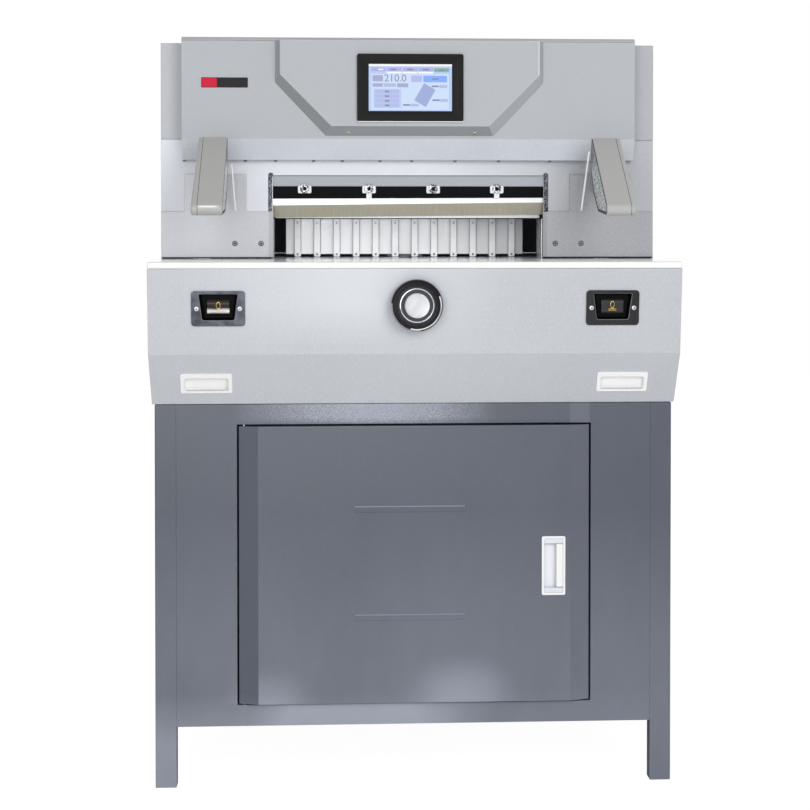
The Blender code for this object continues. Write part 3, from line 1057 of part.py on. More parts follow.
def make_gauge(plate_paint, cast, steel):
    """Back gauge with its fingers, and the carriage under the table that moves it."""
    half = GAUGE_WIDTH / 2
    plate = GAUGE_FRONT + FINGER_DEPTH
    back = plate + GAUGE_THICK
    outline = [(-half, back), (-half, plate)]
    first = -(FINGER_COUNT - 1) * FINGER_PITCH / 2
    for index in range(FINGER_COUNT):
        middle = first + index * FINGER_PITCH
        outline += [(middle - FINGER_WIDTH / 2, plate), (middle - FINGER_WIDTH / 2, GAUGE_FRONT),
                    (middle + FINGER_WIDTH / 2, GAUGE_FRONT), (middle + FINGER_WIDTH / 2, plate)]
    outline += [(half, plate), (half, back)]
    bm = bmesh.new()
    add_prism(bm, outline, "z", GAUGE_LOW, GAUGE_HIGH)
    new_object("back_gauge", bm, plate_paint)

    table_low = TABLE_TOP - TABLE_THICK
    front = back + SEAT_GAP
    rear = front + CARRIAGE_DEPTH
    block_top = table_low - RUN_GAP
    neck = CARRIAGE_NECK / 2
    carriage = box_piece("gauge_carriage", (-CARRIAGE_WIDTH / 2, front, CARRIAGE_LOW),
                         (CARRIAGE_WIDTH / 2, rear, block_top), cast)
    toe = CARRIAGE_TOE_WIDTH / 2
    outline = [(-neck, block_top - CUT_OVER), (neck, block_top - CUT_OVER), (neck, TABLE_TOP + RUN_GAP),
               (toe, TABLE_TOP + RUN_GAP), (toe, GAUGE_HIGH), (-toe, GAUGE_HIGH),
               (-toe, TABLE_TOP + RUN_GAP),
               (-neck, TABLE_TOP + RUN_GAP)]
    bm = bmesh.new()
    add_prism(bm, outline, "y", front, rear)
    combine(carriage, bm, "UNION")
    for x, radius in ((-GAUGE_ROD_X, GAUGE_ROD_RADIUS), (0, SCREW_RADIUS), (GAUGE_ROD_X, GAUGE_ROD_RADIUS)):
        cut_rod(carriage, (x, front - CUT_OVER, WHEEL_HEIGHT), (x, rear + CUT_OVER, WHEEL_HEIGHT),
                radius + RUN_GAP)

    wide = GAUGE_ROD_X + 2 * GAUGE_ROD_RADIUS
    for name, place in (("screw_bearing_front", BEARING_FRONT_DEPTH),
                        ("screw_bearing_rear", BEARING_REAR_DEPTH)):
        block = box_piece(name, (-wide, place - BEARING_THICK / 2, BEARING_LOW),
                          (wide, place + BEARING_THICK / 2, table_low - SEAT_GAP), cast)
        for x, radius in ((-GAUGE_ROD_X, GAUGE_ROD_RADIUS), (0, SCREW_RADIUS),
                          (GAUGE_ROD_X, GAUGE_ROD_RADIUS)):
            cut_rod(block, (x, place - BEARING_THICK, WHEEL_HEIGHT),
                    (x, place + BEARING_THICK, WHEEL_HEIGHT), radius + RUN_GAP / 2)
    for name, side in (("gauge_rod_left", -1), ("gauge_rod_right", 1)):
        rod_piece(name, (side * GAUGE_ROD_X, BEARING_FRONT_DEPTH - BEARING_THICK / 2, WHEEL_HEIGHT),
                  (side * GAUGE_ROD_X, BEARING_REAR_DEPTH + BEARING_THICK / 2, WHEEL_HEIGHT),
                  GAUGE_ROD_RADIUS, steel)


def make_spindle(steel, black, aluminium, motor_paint):
    """Lead screw with the handwheel on its front end, and the gauge motor beside its rear end."""
    axis = (0, 0, WHEEL_HEIGHT)
    bm = bmesh.new()
    add_rod(bm, (0, WHEEL_BACK + SEAT_GAP, 0), (0, SCREW_END + BEARING_THICK, 0), SCREW_RADIUS)
    screw = new_object("lead_screw", bm, steel, axis)
    shade_round(screw)
    dish = WHEEL_FRONT + WHEEL_DISH_DEEP
    profile = [(0, dish), (WHEEL_DISH_RADIUS, dish), (WHEEL_DISH_RADIUS, WHEEL_FRONT),
               (WHEEL_RADIUS - WHEEL_EDGE, WHEEL_FRONT), (WHEEL_RADIUS, WHEEL_FRONT + WHEEL_EDGE),
               (WHEEL_RADIUS, WHEEL_BACK - WHEEL_EDGE), (WHEEL_RADIUS - WHEEL_EDGE, WHEEL_BACK),
               (0, WHEEL_BACK)]
    bm = bmesh.new()
    add_turned(bm, profile)
    wheel = new_object("handwheel", bm, black, axis)
    shade_round(wheel)
    front = WHEEL_FRONT - WHEEL_CAP_PROUD
    profile = [(0, front), (WHEEL_CAP_RADIUS - WHEEL_EDGE, front), (WHEEL_CAP_RADIUS, front + WHEEL_EDGE),
               (WHEEL_CAP_RADIUS, dish - SEAT_GAP), (0, dish - SEAT_GAP)]
    bm = bmesh.new()
    add_turned(bm, profile)
    shade_round(new_object("handwheel_cap", bm, aluminium, axis))
    # The motor hangs under the rear of the table, behind the bearing, beside the screw's end.
    high = TABLE_TOP - TABLE_THICK - SEAT_GAP
    x0 = CARRIAGE_WIDTH / 2 + GAUGE_MOTOR_CLEARANCE
    box_piece("gauge_motor", (x0, BEARING_REAR_DEPTH - GAUGE_MOTOR_LENGTH / 2, high - GAUGE_MOTOR_SIZE),
              (x0 + GAUGE_MOTOR_SIZE, BEARING_REAR_DEPTH + BEARING_THICK / 2, high), motor_paint)


def make_fittings(box_paint, black):
    """Control box, a sheet cover on the cabinet's back, and the mains inlet."""
    rear = CABINET_FRONT + CABINET_DEPTH
    wall = rear - CABINET_SHEET - SEAT_GAP
    low, high = BOX_X - BOX_WIDTH / 2, BOX_X + BOX_WIDTH / 2
    box = box_piece("control_box", (low, wall - BOX_DEPTH, BOX_LOW), (high, wall, BOX_HIGH), box_paint)
    cut_box(box, (low + SHEET, wall - BOX_DEPTH + SHEET, BOX_LOW + SHEET),
            (high - SHEET, wall + CUT_OVER, BOX_HIGH - SHEET))
    half_w, half_t = INLET_WIDTH / 2, INLET_TALL / 2
    inlet = box_piece("power_inlet", (INLET_X - half_w, rear + SEAT_GAP, INLET_HEIGHT - half_t),
                      (INLET_X + half_w, rear + INLET_DEPTH, INLET_HEIGHT + half_t), black)
    cut_box(inlet,
            (INLET_X - half_w + INLET_MARGIN, rear + INLET_DEPTH - INLET_SOCKET,
             INLET_HEIGHT - half_t + INLET_MARGIN),
            (INLET_X + half_w - INLET_MARGIN, rear + INLET_DEPTH + CUT_OVER,
             INLET_HEIGHT + half_t - INLET_MARGIN))


def main():
    """Builds the whole machine."""
    for obj in list(bpy.data.objects):
        bpy.data.objects.remove(obj, do_unlink=True)
    look = make_materials()
    make_cabinet(look["dark_paint"], look["dark_steel"])
    make_door(look["dark_paint"], look["steel"], look["white_plastic"])
    make_table(look["steel"], look["white_plastic"], look["beige_plastic"])
    make_apron(look["grey_paint"])
    for side, name in ((-1, "left"), (1, "right")):
        make_button(side, name, look["black_plastic"], look["brass"])
        make_pull(side, name, look["white_plastic"])
        make_arm(side, name, look["beige_plastic"], look["clear_plastic"])
    make_face(look["pale_paint"], look["pale_paint"])
    make_columns(look["grey_paint"], look["steel"])
    make_head(look["grey_paint"])
    make_console(look["grey_paint"], look["black_plastic"], look["display"])
    make_knife(look["dark_steel"], look["steel"], look["steel"])
    make_drive(look["steel"], look["dark_steel"], look["dark_paint"])
    make_clamp(look["dark_steel"], look["steel"], look["dark_paint"])
    make_gauge(look["pale_paint"], look["dark_steel"], look["steel"])
    make_spindle(look["steel"], look["black_plastic"], look["aluminium"], look["dark_steel"])
    make_fittings(look["pale_paint"], look["black_plastic"])


if __name__ == "__main__":
    main()
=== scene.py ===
"""Electric paper cutter: finishes and fine details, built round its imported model.

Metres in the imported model's frame: x to the right, y from front to back, z up. Depths are counted
back from the table's front edge, as on a drawing, and at() turns them into places. In the tests
that pick faces and edges, c and n are a face's centre and normal, m and r an edge's middle and run.
"""

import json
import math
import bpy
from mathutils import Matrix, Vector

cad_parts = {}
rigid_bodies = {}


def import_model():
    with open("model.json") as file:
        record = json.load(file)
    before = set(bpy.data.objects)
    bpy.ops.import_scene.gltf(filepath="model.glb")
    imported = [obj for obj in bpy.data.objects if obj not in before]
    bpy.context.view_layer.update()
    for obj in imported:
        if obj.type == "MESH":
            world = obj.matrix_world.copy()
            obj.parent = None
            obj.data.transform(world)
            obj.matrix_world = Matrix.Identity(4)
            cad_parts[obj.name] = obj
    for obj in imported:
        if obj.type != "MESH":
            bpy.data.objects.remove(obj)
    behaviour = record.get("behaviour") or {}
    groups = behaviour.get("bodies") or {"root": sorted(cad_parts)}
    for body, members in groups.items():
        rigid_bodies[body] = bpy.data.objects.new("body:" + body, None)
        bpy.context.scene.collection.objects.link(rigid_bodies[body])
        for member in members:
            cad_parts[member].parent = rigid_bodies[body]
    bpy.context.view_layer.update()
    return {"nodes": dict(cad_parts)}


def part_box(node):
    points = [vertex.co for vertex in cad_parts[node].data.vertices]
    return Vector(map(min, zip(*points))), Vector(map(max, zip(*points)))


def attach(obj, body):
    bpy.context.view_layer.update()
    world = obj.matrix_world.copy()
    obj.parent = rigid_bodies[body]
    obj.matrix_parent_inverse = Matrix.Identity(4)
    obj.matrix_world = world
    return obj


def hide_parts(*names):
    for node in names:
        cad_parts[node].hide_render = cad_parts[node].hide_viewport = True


bl_info = {
    "name": "Electric Paper Cutter",
    "version": (1, 0, 0),
    "blender": (4, 5, 0),
    "location": "3D View > Sidebar > Paper Cutter",
    "description": "Builds the finished looks of an electric paper cutter round its packed model",
    "category": "Object",
}

import bpy
from bpy.props import FloatProperty, FloatVectorProperty, PointerProperty
from mathutils import Vector

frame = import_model()
TABLE_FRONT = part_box("table_trim")[0].y
TABLE_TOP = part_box("table")[1].z
TURN = math.radians(90)
SIDES = (("left", -1), ("right", 1))
OPENING = 0.2605    # half the width of the opening under the knife
# Height and depth of the apron's face at its top, its crease and its foot
APRON_TOP, APRON_CREASE, APRON_FOOT = (0.938, 0.002), (0.7854, 0.020), (0.6927, 0.066)
WHITE = (1.0, 1.0, 1.0)


def at(x, depth, z):
    """A place from x, the depth behind the table's front edge, and the height."""
    return Vector((x, TABLE_FRONT + depth, z))


def size(name, description, default):
    """A length that a user can change."""
    return FloatProperty(name=name, description=description, default=default, min=0.0,
                         unit="LENGTH", precision=4)


def tint(name, description, default):
    """A colour that a user can change."""
    return FloatVectorProperty(name=name, description=description, default=default, size=3,
                               min=0.0, max=1.0, subtype="COLOR")


def amount(name, description, default, top=10.0):
    """A plain number that a user can change."""
    return FloatProperty(name=name, description=description, default=default, min=-top, max=top)


def angle(name, description, degrees):
    """An angle that a user can change."""
    return FloatProperty(name=name, description=description, unit="ROTATION",
                         default=math.radians(degrees))


class CutterColours(bpy.types.PropertyGroup):
    """Colours of the machine's finishes."""

    head: tint("Head paint", "Light grey paint of the head and the console", (0.43, 0.452, 0.474))
    # the band is the head's own sheet; its lighter colour is painted light, with more sparkle
    band: tint("Band paint", "Sparkling paint of the head's slanted band", (0.58, 0.61, 0.65))
    column: tint("Column paint", "Paint of the two side castings", (0.50, 0.515, 0.545))
    face: tint("Face paint", "Paint of the plate round the throat", (0.75, 0.775, 0.82))
    guard: tint("Guard paint", "Metallic paint of the guards", (0.53, 0.54, 0.57))
    apron: tint("Apron paint", "Paint of the front cover", (0.51, 0.53, 0.56))
    cabinet: tint("Cabinet paint", "Dark paint of the cabinet and the door", (0.064, 0.075, 0.101))
    arm: tint("Arm plastic", "Warm grey plastic of the light-curtain arms", (0.42, 0.418, 0.408))
    steel: tint("Ground steel", "Rods and pins", (0.78, 0.80, 0.83))
    cast: tint("Cast parts", "Blackened castings inside the throat", (0.006, 0.006, 0.007))
    white: tint("White plastic", "Pulls, trim and screw covers", (0.94, 0.94, 0.94))
    black: tint("Black plastic", "Right button, arm frames and sockets", (0.018, 0.018, 0.02))
    gold: tint("Gold", "Figures on the two buttons", (0.80, 0.55, 0.16))


class CutterSizes(bpy.types.PropertyGroup):
    """Edge roundings and the sizes of small details."""

    sheet_edge: size("Sheet edge", "Rounding of folded sheet covers", 0.0018)
    casting_edge: size("Casting edge", "Rounding of castings", 0.0015)
    screw_radius: size("Guard screw", "Radius of the guards' screw heads", 0.0055)
    rivet_radius: size("Lip screw", "Radius of the screw heads under the head's lip", 0.0038)
    knurl_depth: size("Knurl depth", "Depth of the handwheel's knurls", 0.0012)


class CutterStage(bpy.types.PropertyGroup):
    """Camera, lights and background."""

    camera_place: FloatVectorProperty(name="Camera place", description="Where the camera stands",
                                      size=3, default=(-0.1701, -3.5548, 1.0203),
                                      subtype="TRANSLATION", unit="LENGTH")
    camera_turn: angle("Camera turn", "Turn to the right", 3.02)
    camera_dip: angle("Camera dip", "Tilt downwards", 1.08)
    lens: amount("Lens", "Focal length in millimetres on a 36 mm sensor", 78.2, 500.0)
    shift_x: amount("Shift across", "Share of the frame that the lens is shifted sideways", -0.0103)
    shift_y: amount("Shift up", "Share of the frame that the lens is shifted upwards", -0.1849)
    surround: amount("Surround", "Strength of the even light from all sides", 0.40)
    key: amount("Key light", "Watts of the soft lamp at the front right", 40.0, 2000.0)
    sheen: amount("Sheen light", "Watts of the low lamp that only shows in glossy paint", 3.0, 2000.0)
    throat: amount("Throat light", "Watts of the small strip lamp in the throat", 0.05, 100.0)
    fill: amount("Fill light", "Watts of the soft lamp at the front left", 24.0, 2000.0)


def sizes():
    """The scene's sizes."""
    return bpy.context.scene.cutter_sizes


# Shader maths

def worked(operation, swapped=False):
    """A method that puts a wire and another value into a Math node."""
    def method(wire, other):
        first, second = (other, wire) if swapped else (wire, other)
        return wire.finish.node("ShaderNodeMath", {"operation": operation}, {0: first, 1: second})
    return method


class Wire:
    """A socket in a finish; arithmetic on it adds Math nodes."""

    __add__, __radd__ = worked("ADD"), worked("ADD", True)
    __sub__, __rsub__ = worked("SUBTRACT"), worked("SUBTRACT", True)
    __mul__, __rmul__ = worked("MULTIPLY"), worked("MULTIPLY", True)

    def __init__(self, finish, socket):
        self.finish, self.socket = finish, socket

    def spread(self, low, high, new_low=0.0, new_high=1.0):
        """The value with the range low to high stretched to a new one and clamped to it."""
        return self.finish.node("ShaderNodeMapRange", {"clamp": True},
                                {0: self, 1: low, 2: high, 3: new_low, 4: new_high})

    def rough(self, value, below=0.05, above=0.05):
        """A roughness that follows the middle of a noise."""
        return self.spread(0.3, 0.7, value - below, value + above)


class Finish:
    """A material with one Principled shader and the nodes that vary it."""

    def __init__(self, name, **constants):
        self.material = bpy.data.materials.new(name)
        self.material.use_nodes = True
        self.tree = self.material.node_tree
        self.shader = self.tree.nodes["Principled BSDF"]
        for socket, value in constants.items():
            self.shader.inputs[socket.replace("_", " ")].default_value = value
        self.place = self.node("ShaderNodeTexCoord", output="Object")

    def node(self, kind, settings=None, inputs=None, output=0):
        """Adds a node, sets it up, feeds its sockets and returns one of its outputs."""
        made = self.tree.nodes.new(kind)
        for key, value in (settings or {}).items():
            setattr(made, key, value)
        for key, value in (inputs or {}).items():
            self.feed(made.inputs[key], value)
        return Wire(self, made.outputs[output])

    def feed(self, socket, value):
        """Links a wire to a socket, or sets its value."""
        if isinstance(value, Wire):
            self.tree.links.new(value.socket, socket)
        else:
            socket.default_value = value

    def noise(self, scale, detail=2.0, stretch=(1, 1, 1), rough=0.5):
        """Cloudy noise of a scale in features per metre."""
        spot = self.node("ShaderNodeMapping", inputs={"Vector": self.place, "Scale": stretch})
        return self.node("ShaderNodeTexNoise", {"noise_dimensions": "3D"},
                         {"Vector": spot, "Scale": scale, "Detail": detail, "Roughness": rough})

    def axis(self, index):
        """One coordinate of the place."""
        return self.node("ShaderNodeSeparateXYZ", inputs={0: self.place}, output=index)

    def vector(self, operation, first, second=(0, 0, 0), output=0):
        """A Vector Math node."""
        return self.node("ShaderNodeVectorMath", {"operation": operation}, {0: first, 1: second},
                         output)

    def mix(self, share, first, second):
        """A colour between two."""
        pair = {0: share, 6: opaque(first), 7: opaque(second)}
        return self.node("ShaderNodeMix", {"data_type": "RGBA"}, pair, 2)

    def tone(self, colour, low, high, *layers):
        """A colour between its darker and its lighter self, by (noise, weight) layers."""
        share = 0.5
        for layer, weight in layers:
            share = (layer - 0.5) * weight + share
        return self.mix(share, shade(colour, low), shade(colour, high))

    def give(self, **links):
        """Feeds sockets of the shader."""
        for socket, value in links.items():
            self.feed(self.shader.inputs[socket.replace("_", " ")], value)

    def bump(self, height, distance):
        """Surface relief of a height wire."""
        self.give(Normal=self.node("ShaderNodeBump", inputs={"Height": height, "Distance": distance},
                                   output="Normal"))


def opaque(colour):
    """A colour with its alpha, or a wire as it is."""
    return colour if isinstance(colour, Wire) else (*colour[:3], 1.0)


def shade(colour, factor):
    """A colour made lighter or darker."""
    return tuple(min(1.0, channel * factor) for channel in colour[:3])


def paint(name, colour, grain=0.05, cloud=0.04, roughness=0.42, metallic=0.0, fade=0.0, pool=0.0):
    """Powder paint: fine grain, faint clouds, an orange-peel relief and a little sparkle.

    It can darken towards the right as painted shade, and hold a pool of light, a painted highlight,
    over the apron's middle.
    """
    finish = Finish(name, Metallic=metallic)
    fine, broad = finish.noise(420.0, 1.0), finish.noise(5.5, 3.0)
    sparkle = finish.noise(714.0, 0.0).spread(0.66, 0.78)
    base = finish.tone(colour, 0.80, 1.20, (broad, cloud * 5), (fine, grain * 5))
    if pool:
        across, height = finish.axis(0), finish.axis(2)
        # painted highlight: the apron's upper middle is painted lighter, a pool of light
        lit = across.spread(-0.42, -0.14) * across.spread(0.16, -0.08) * height.spread(0.80, 0.875)
        base = finish.mix(lit * pool, base, shade(colour, 1.45))
    if fade:
        # painted shade: the colour darkens towards the right
        base = finish.mix(finish.axis(0).spread(0.04, 0.32) * fade, base, shade(colour, 0.45))
    finish.give(Base_Color=finish.mix(sparkle * min(1.0, grain * 5), base, shade(colour, 1.45)),
                Roughness=broad.rough(roughness))
    finish.bump(fine, 0.00012)


def cabinet_paint(name, colour):
    """Dark blue-grey structure paint with soft clouds and a few pale specks, and the floor's light on
    its front as painted highlights and painted reflections.
    """
    finish = Finish(name, Specular_IOR_Level=0.7)
    fine, broad = finish.noise(300.0, 2.0), finish.noise(2.6, 2.0)
    streak = finish.noise(9.0, 4.0, (1.0, 1.0, 0.35), 0.6)
    grain = finish.noise(800.0, 0.0).spread(0.42, 0.62)
    speck = finish.noise(700.0, 0.0).spread(0.74, 0.84)
    base = finish.tone(colour, 0.74, 1.26, (broad, 0.5), (streak, 0.5), (fine, 0.45))
    height, across = finish.axis(2), finish.axis(0)
    ahead = finish.axis(1).spread(TABLE_FRONT + 0.10, TABLE_FRONT + 0.09)

    # painted highlight: a speckled sheen on the front just under the apron's middle
    under = height.spread(0.650, 0.668) * across.spread(-0.33, -0.10) * across.spread(0.15, -0.04)
    under = under * ahead * (0.62 + grain * 0.9) * 1.1    # light under the apron

    low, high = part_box("door")
    leaf = height.spread(low.z - 0.001, low.z + 0.001) * ahead    # the door, then its two bent edges
    left = across.spread(low.x - 0.001, low.x) * across.spread(low.x + 0.0360, low.x + 0.0345)
    right = across.spread(high.x + 0.001, high.x) * across.spread(high.x - 0.0360, high.x - 0.0345)

    def spot(x, z, width, tall):
        """A soft round painted highlight on the door."""
        aside, above = (across - x) * (1.0 / width), (height - z) * (1.0 / tall)
        near = (aside * aside + above * above).spread(1.0, 0.0)
        return near * near * leaf

    # painted reflections of the floor: the door lighter low down and along its right edge, and two
    # round painted highlights
    painted_sheen_low = height.spread(0.50, 0.16) * (0.30 + streak * 0.5) * 0.5 * (1.0 - left * leaf * 0.9)
    painted_sheen_right = right * leaf * height.spread(0.25, 0.55) * 0.13
    spots = spot(0.083, 0.160, 0.120, 0.088) * 0.50
    spots = spots + spot(-0.262, 0.146, 0.095, 0.085) * (1.0 - left) * 0.42
    # painted sheen on the ledge below the door, and the floor's painted reflection on the feet,
    # stronger on the left
    painted_ledge_sheen = height.spread(low.z + 0.001, low.z - 0.001) * ahead    # below the door, then the feet
    painted_ledge_sheen = painted_ledge_sheen * across.spread(-0.30, -0.22) * across.spread(0.14, -0.02) * 0.62
    foot = height.spread(0.17, 0.08) * (0.22 + across.spread(0.25, -0.42) * 0.62) * 0.62
    foot = foot * (1.0 - across.spread(0.425, 0.435) * 0.9)
    # all this painted light mixes the paint towards a pale blue-grey
    base = finish.mix(under + painted_sheen_low + painted_sheen_right + spots + painted_ledge_sheen + foot, base, (0.31, 0.335, 0.40))
    finish.give(Base_Color=finish.mix(speck * 0.25, base, shade(colour, 2.2)),
                Roughness=streak.spread(0.3, 0.7, 0.30, 0.40))
    finish.bump(fine, 0.00012)


def ground_steel(name, colour, along=(1, 1, 1), roughness=0.26, streak=0.10, metallic=1.0, front=0.0):
    """Ground metal with fine lines along one axis and soft clouds; its front can glow, a painted light
    that stands for the lamps' shine.
    """
    finish = Finish(name, Metallic=metallic, Emission_Strength=front)
    line = finish.noise(900.0, 2.0, along)
    finish.give(Base_Color=finish.tone(colour, 0.82, 1.12, (finish.noise(14.0, 3.0), 0.5),
                                       (line, streak * 6)),
                Roughness=line.spread(0.25, 0.75, roughness - 0.06, roughness + 0.08))
    if front:
        # painted light: the part near the table's front edge glows
        near = finish.axis(1).spread(TABLE_FRONT + 0.26, TABLE_FRONT + 0.18)
        finish.give(Emission_Color=finish.mix(near, (0.0, 0.0, 0.0), WHITE))
    finish.bump(line, 0.00004)


def turned_metal(name, colour, roughness):
    """Metal turned on a lathe, with rings round the handwheel's centre."""
    finish = Finish(name, Metallic=1.0)
    low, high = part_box("handwheel_cap")
    off = finish.vector("SUBTRACT", finish.place, tuple((low + high) / 2))
    radius = finish.vector("LENGTH", finish.vector("MULTIPLY", off, (1.0, 0.0, 1.0)), output="Value")
    ring = finish.node("ShaderNodeMath", {"operation": "SINE"}, {0: radius * 5200.0})
    cloud = finish.noise(60.0, 2.0)
    share = ring * 0.18 + (cloud - 0.5) * 0.5 + 0.5
    finish.give(Base_Color=finish.mix(share, shade(colour, 0.86), shade(colour, 1.08)),
                Roughness=cloud.rough(roughness, 0.04, 0.06))
    finish.bump(ring, 0.00003)


def cast_metal(name, colour, roughness=0.5, metallic=0.3, gloss=0.5):
    """Blackened casting with a rough skin."""
    finish = Finish(name, Metallic=metallic, Specular_IOR_Level=gloss)
    skin = finish.noise(160.0, 4.0, rough=0.65)
    finish.give(Base_Color=finish.tone(colour, 0.6, 1.5, (finish.noise(12.0, 2.0), 0.7), (skin, 0.9)),
                Roughness=skin.rough(roughness, 0.1, 0.12))
    finish.bump(skin, 0.0003)


def moulded(name, colour, roughness=0.3, grain=0.03, gloss=0.5, glow_strength=0.0):
    """Moulded plastic: nearly even, with a fine spark-eroded grain; glow_strength makes it glow, a
    painted light.
    """
    finish = Finish(name, Specular_IOR_Level=gloss, Emission_Strength=glow_strength,
                    Emission_Color=(*WHITE, 1.0))
    fine, broad = finish.noise(900.0, 2.0), finish.noise(16.0, 2.0)
    finish.give(Base_Color=finish.tone(colour, 0.88, 1.12, (broad, grain * 8), (fine, grain * 8)),
                Roughness=broad.spread(0.3, 0.7, max(0.04, roughness - 0.05), roughness + 0.05))
    finish.bump(fine, 0.00006)


def glow(name, colour, strength=1.0):
    """A lit area with the faint grid of a display."""
    finish = Finish(name, Roughness=0.25, Emission_Strength=strength,
                    Base_Color=(0.02, 0.02, 0.02, 1.0))
    finish.give(Emission_Color=finish.tone(colour, 0.94, 1.06, (finish.noise(9.0, 1.0), 0.4),
                                           (finish.noise(1500.0, 0.0), 0.3)))


def acrylic(name):
    """Clear sheet with faint scratches."""
    finish = Finish(name, Base_Color=(0.93, 0.95, 0.97, 1.0), Roughness=0.12)
    scratch = finish.noise(240.0, 3.0, (1.0, 0.2, 1.0))
    finish.give(Alpha=scratch.spread(0.45, 0.8, 0.07, 0.22))
    finish.bump(scratch, 0.00002)


def sheet_edge(name):
    """Bright edge of a clear sheet that glows faintly, a painted light; on the left its upper end is
    lost against the plate.
    """
    finish = Finish(name, Base_Color=(0.95, 0.96, 0.98, 1.0), Roughness=0.15, Emission_Strength=0.14,
                    Emission_Color=(*WHITE, 1.0))
    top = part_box("guard_left")[1].z
    seen = finish.axis(2).spread(top + 0.020, top + 0.012) * 0.7
    finish.give(Alpha=1.0 - finish.axis(0).spread(0.1, -0.1) * (1.0 - seen))
    finish.bump(finish.noise(240.0, 2.0), 0.00002)


def arm_plastic(name, colour):
    """Beige plastic with a white line painted along the left arm's toe as a highlight."""
    finish = Finish(name, Roughness=0.30)
    fine, broad = finish.noise(900.0, 2.0), finish.noise(16.0, 2.0)
    base = finish.tone(colour, 0.88, 1.12, (broad, 0.16), (fine, 0.16))
    low, height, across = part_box("arm_left")[0], finish.axis(2), finish.axis(0)
    # painted highlight: a white line across the left arm's toe
    line = height.spread(low.z + 0.0182, low.z + 0.0162) * height.spread(low.z + 0.0134, low.z + 0.0154)
    line = line * across.spread(low.x + 0.0040, low.x + 0.0120)
    line = line * across.spread(low.x + 0.046, low.x + 0.036)
    finish.give(Base_Color=finish.mix(line * 0.85, base, WHITE))
    finish.bump(fine, 0.00006)


def ripple_lens(name):
    """Ribbed clear window that glitters."""
    finish = Finish(name, Metallic=0.85)
    rib = finish.noise(260.0, 3.0, (1.0, 1.0, 1.0), 0.7)
    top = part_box("arm_right")[1].z
    dim = finish.axis(2).spread(top - 0.056, top - 0.036) * 0.85
    base = finish.mix(rib.spread(0.38, 0.62), (0.34, 0.35, 0.37), WHITE)
    finish.give(Base_Color=finish.mix(dim, base, (0.16, 0.16, 0.17)),
                Roughness=rib.spread(0.3, 0.7, 0.08, 0.35))
    finish.bump(rib, 0.0012)


def honed_bevel(name):
    """Honed bevel with fine cross lines and a warm tan tone, darker towards its right end as painted
    shade.
    """
    finish = Finish(name, Metallic=0.25, Roughness=0.42)
    line, broad = finish.noise(1100.0, 2.0, (1.0, 0.03, 0.03)), finish.noise(8.0, 3.0)
    # painted shade: the bevel darkens towards its right end
    share = (line - 0.5) * 0.9 + (broad - 0.5) * 0.6 + 0.5 - finish.axis(0).spread(0.255, 0.292) * 1.2
    finish.give(Base_Color=finish.mix(share, (0.30, 0.285, 0.225), (0.55, 0.525, 0.42)))
    finish.bump(line, 0.00005)


def clouded_slate(name):
    """Gloss plastic with broad cloudy reflections painted into its dark blue-grey colour; black on the
    right.
    """
    finish = Finish(name, Roughness=0.22)
    cloud = finish.noise(48.0, 2.0)
    # painted reflections: broad clouds of lighter blue-grey
    base = finish.mix(cloud.spread(0.32, 0.68), (0.030, 0.032, 0.048), (0.120, 0.132, 0.165))
    finish.give(Base_Color=finish.mix(finish.axis(0).spread(0.0, 0.2), base, (0.006, 0.006, 0.007)))
    finish.bump(cloud, 0.0001)


def speckled_metal(name, light, share=0.5):
    """Oily metal broken by dark spots."""
    finish = Finish(name, Metallic=0.6, Roughness=0.3)
    spot = finish.noise(420.0, 2.0)
    bare = spot.spread(share - 0.04, share + 0.04)
    finish.give(Base_Color=finish.mix(bare, (0.02, 0.018, 0.03), light))
    finish.bump(spot, 0.0003)


def button_sheen(name):
    """Black chrome with the bright floor's painted reflection on its lower part and a painted highlight
    along its top edge.
    """
    finish = Finish(name, Metallic=0.9, Roughness=0.2)
    low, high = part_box("button_left")
    height, centre = finish.axis(2), (low.z + high.z) / 2
    cloud = finish.noise(120.0, 3.0, (0.3, 1.0, 1.0))
    # painted reflection: a bright band on the button's lower half
    lit = height.spread(centre, centre - 0.0055) * height.spread(centre - 0.0125, centre - 0.0100)
    lit = lit * cloud.spread(0.32, 0.62, 0.25, 1.0)
    # painted highlight along the top edge
    lit = lit + height.spread(centre + 0.0105, centre + 0.0125) * 0.3
    finish.give(Base_Color=finish.mix(lit, (0.025, 0.023, 0.02), (0.74, 0.73, 0.70)))
    finish.bump(cloud, 0.00003)


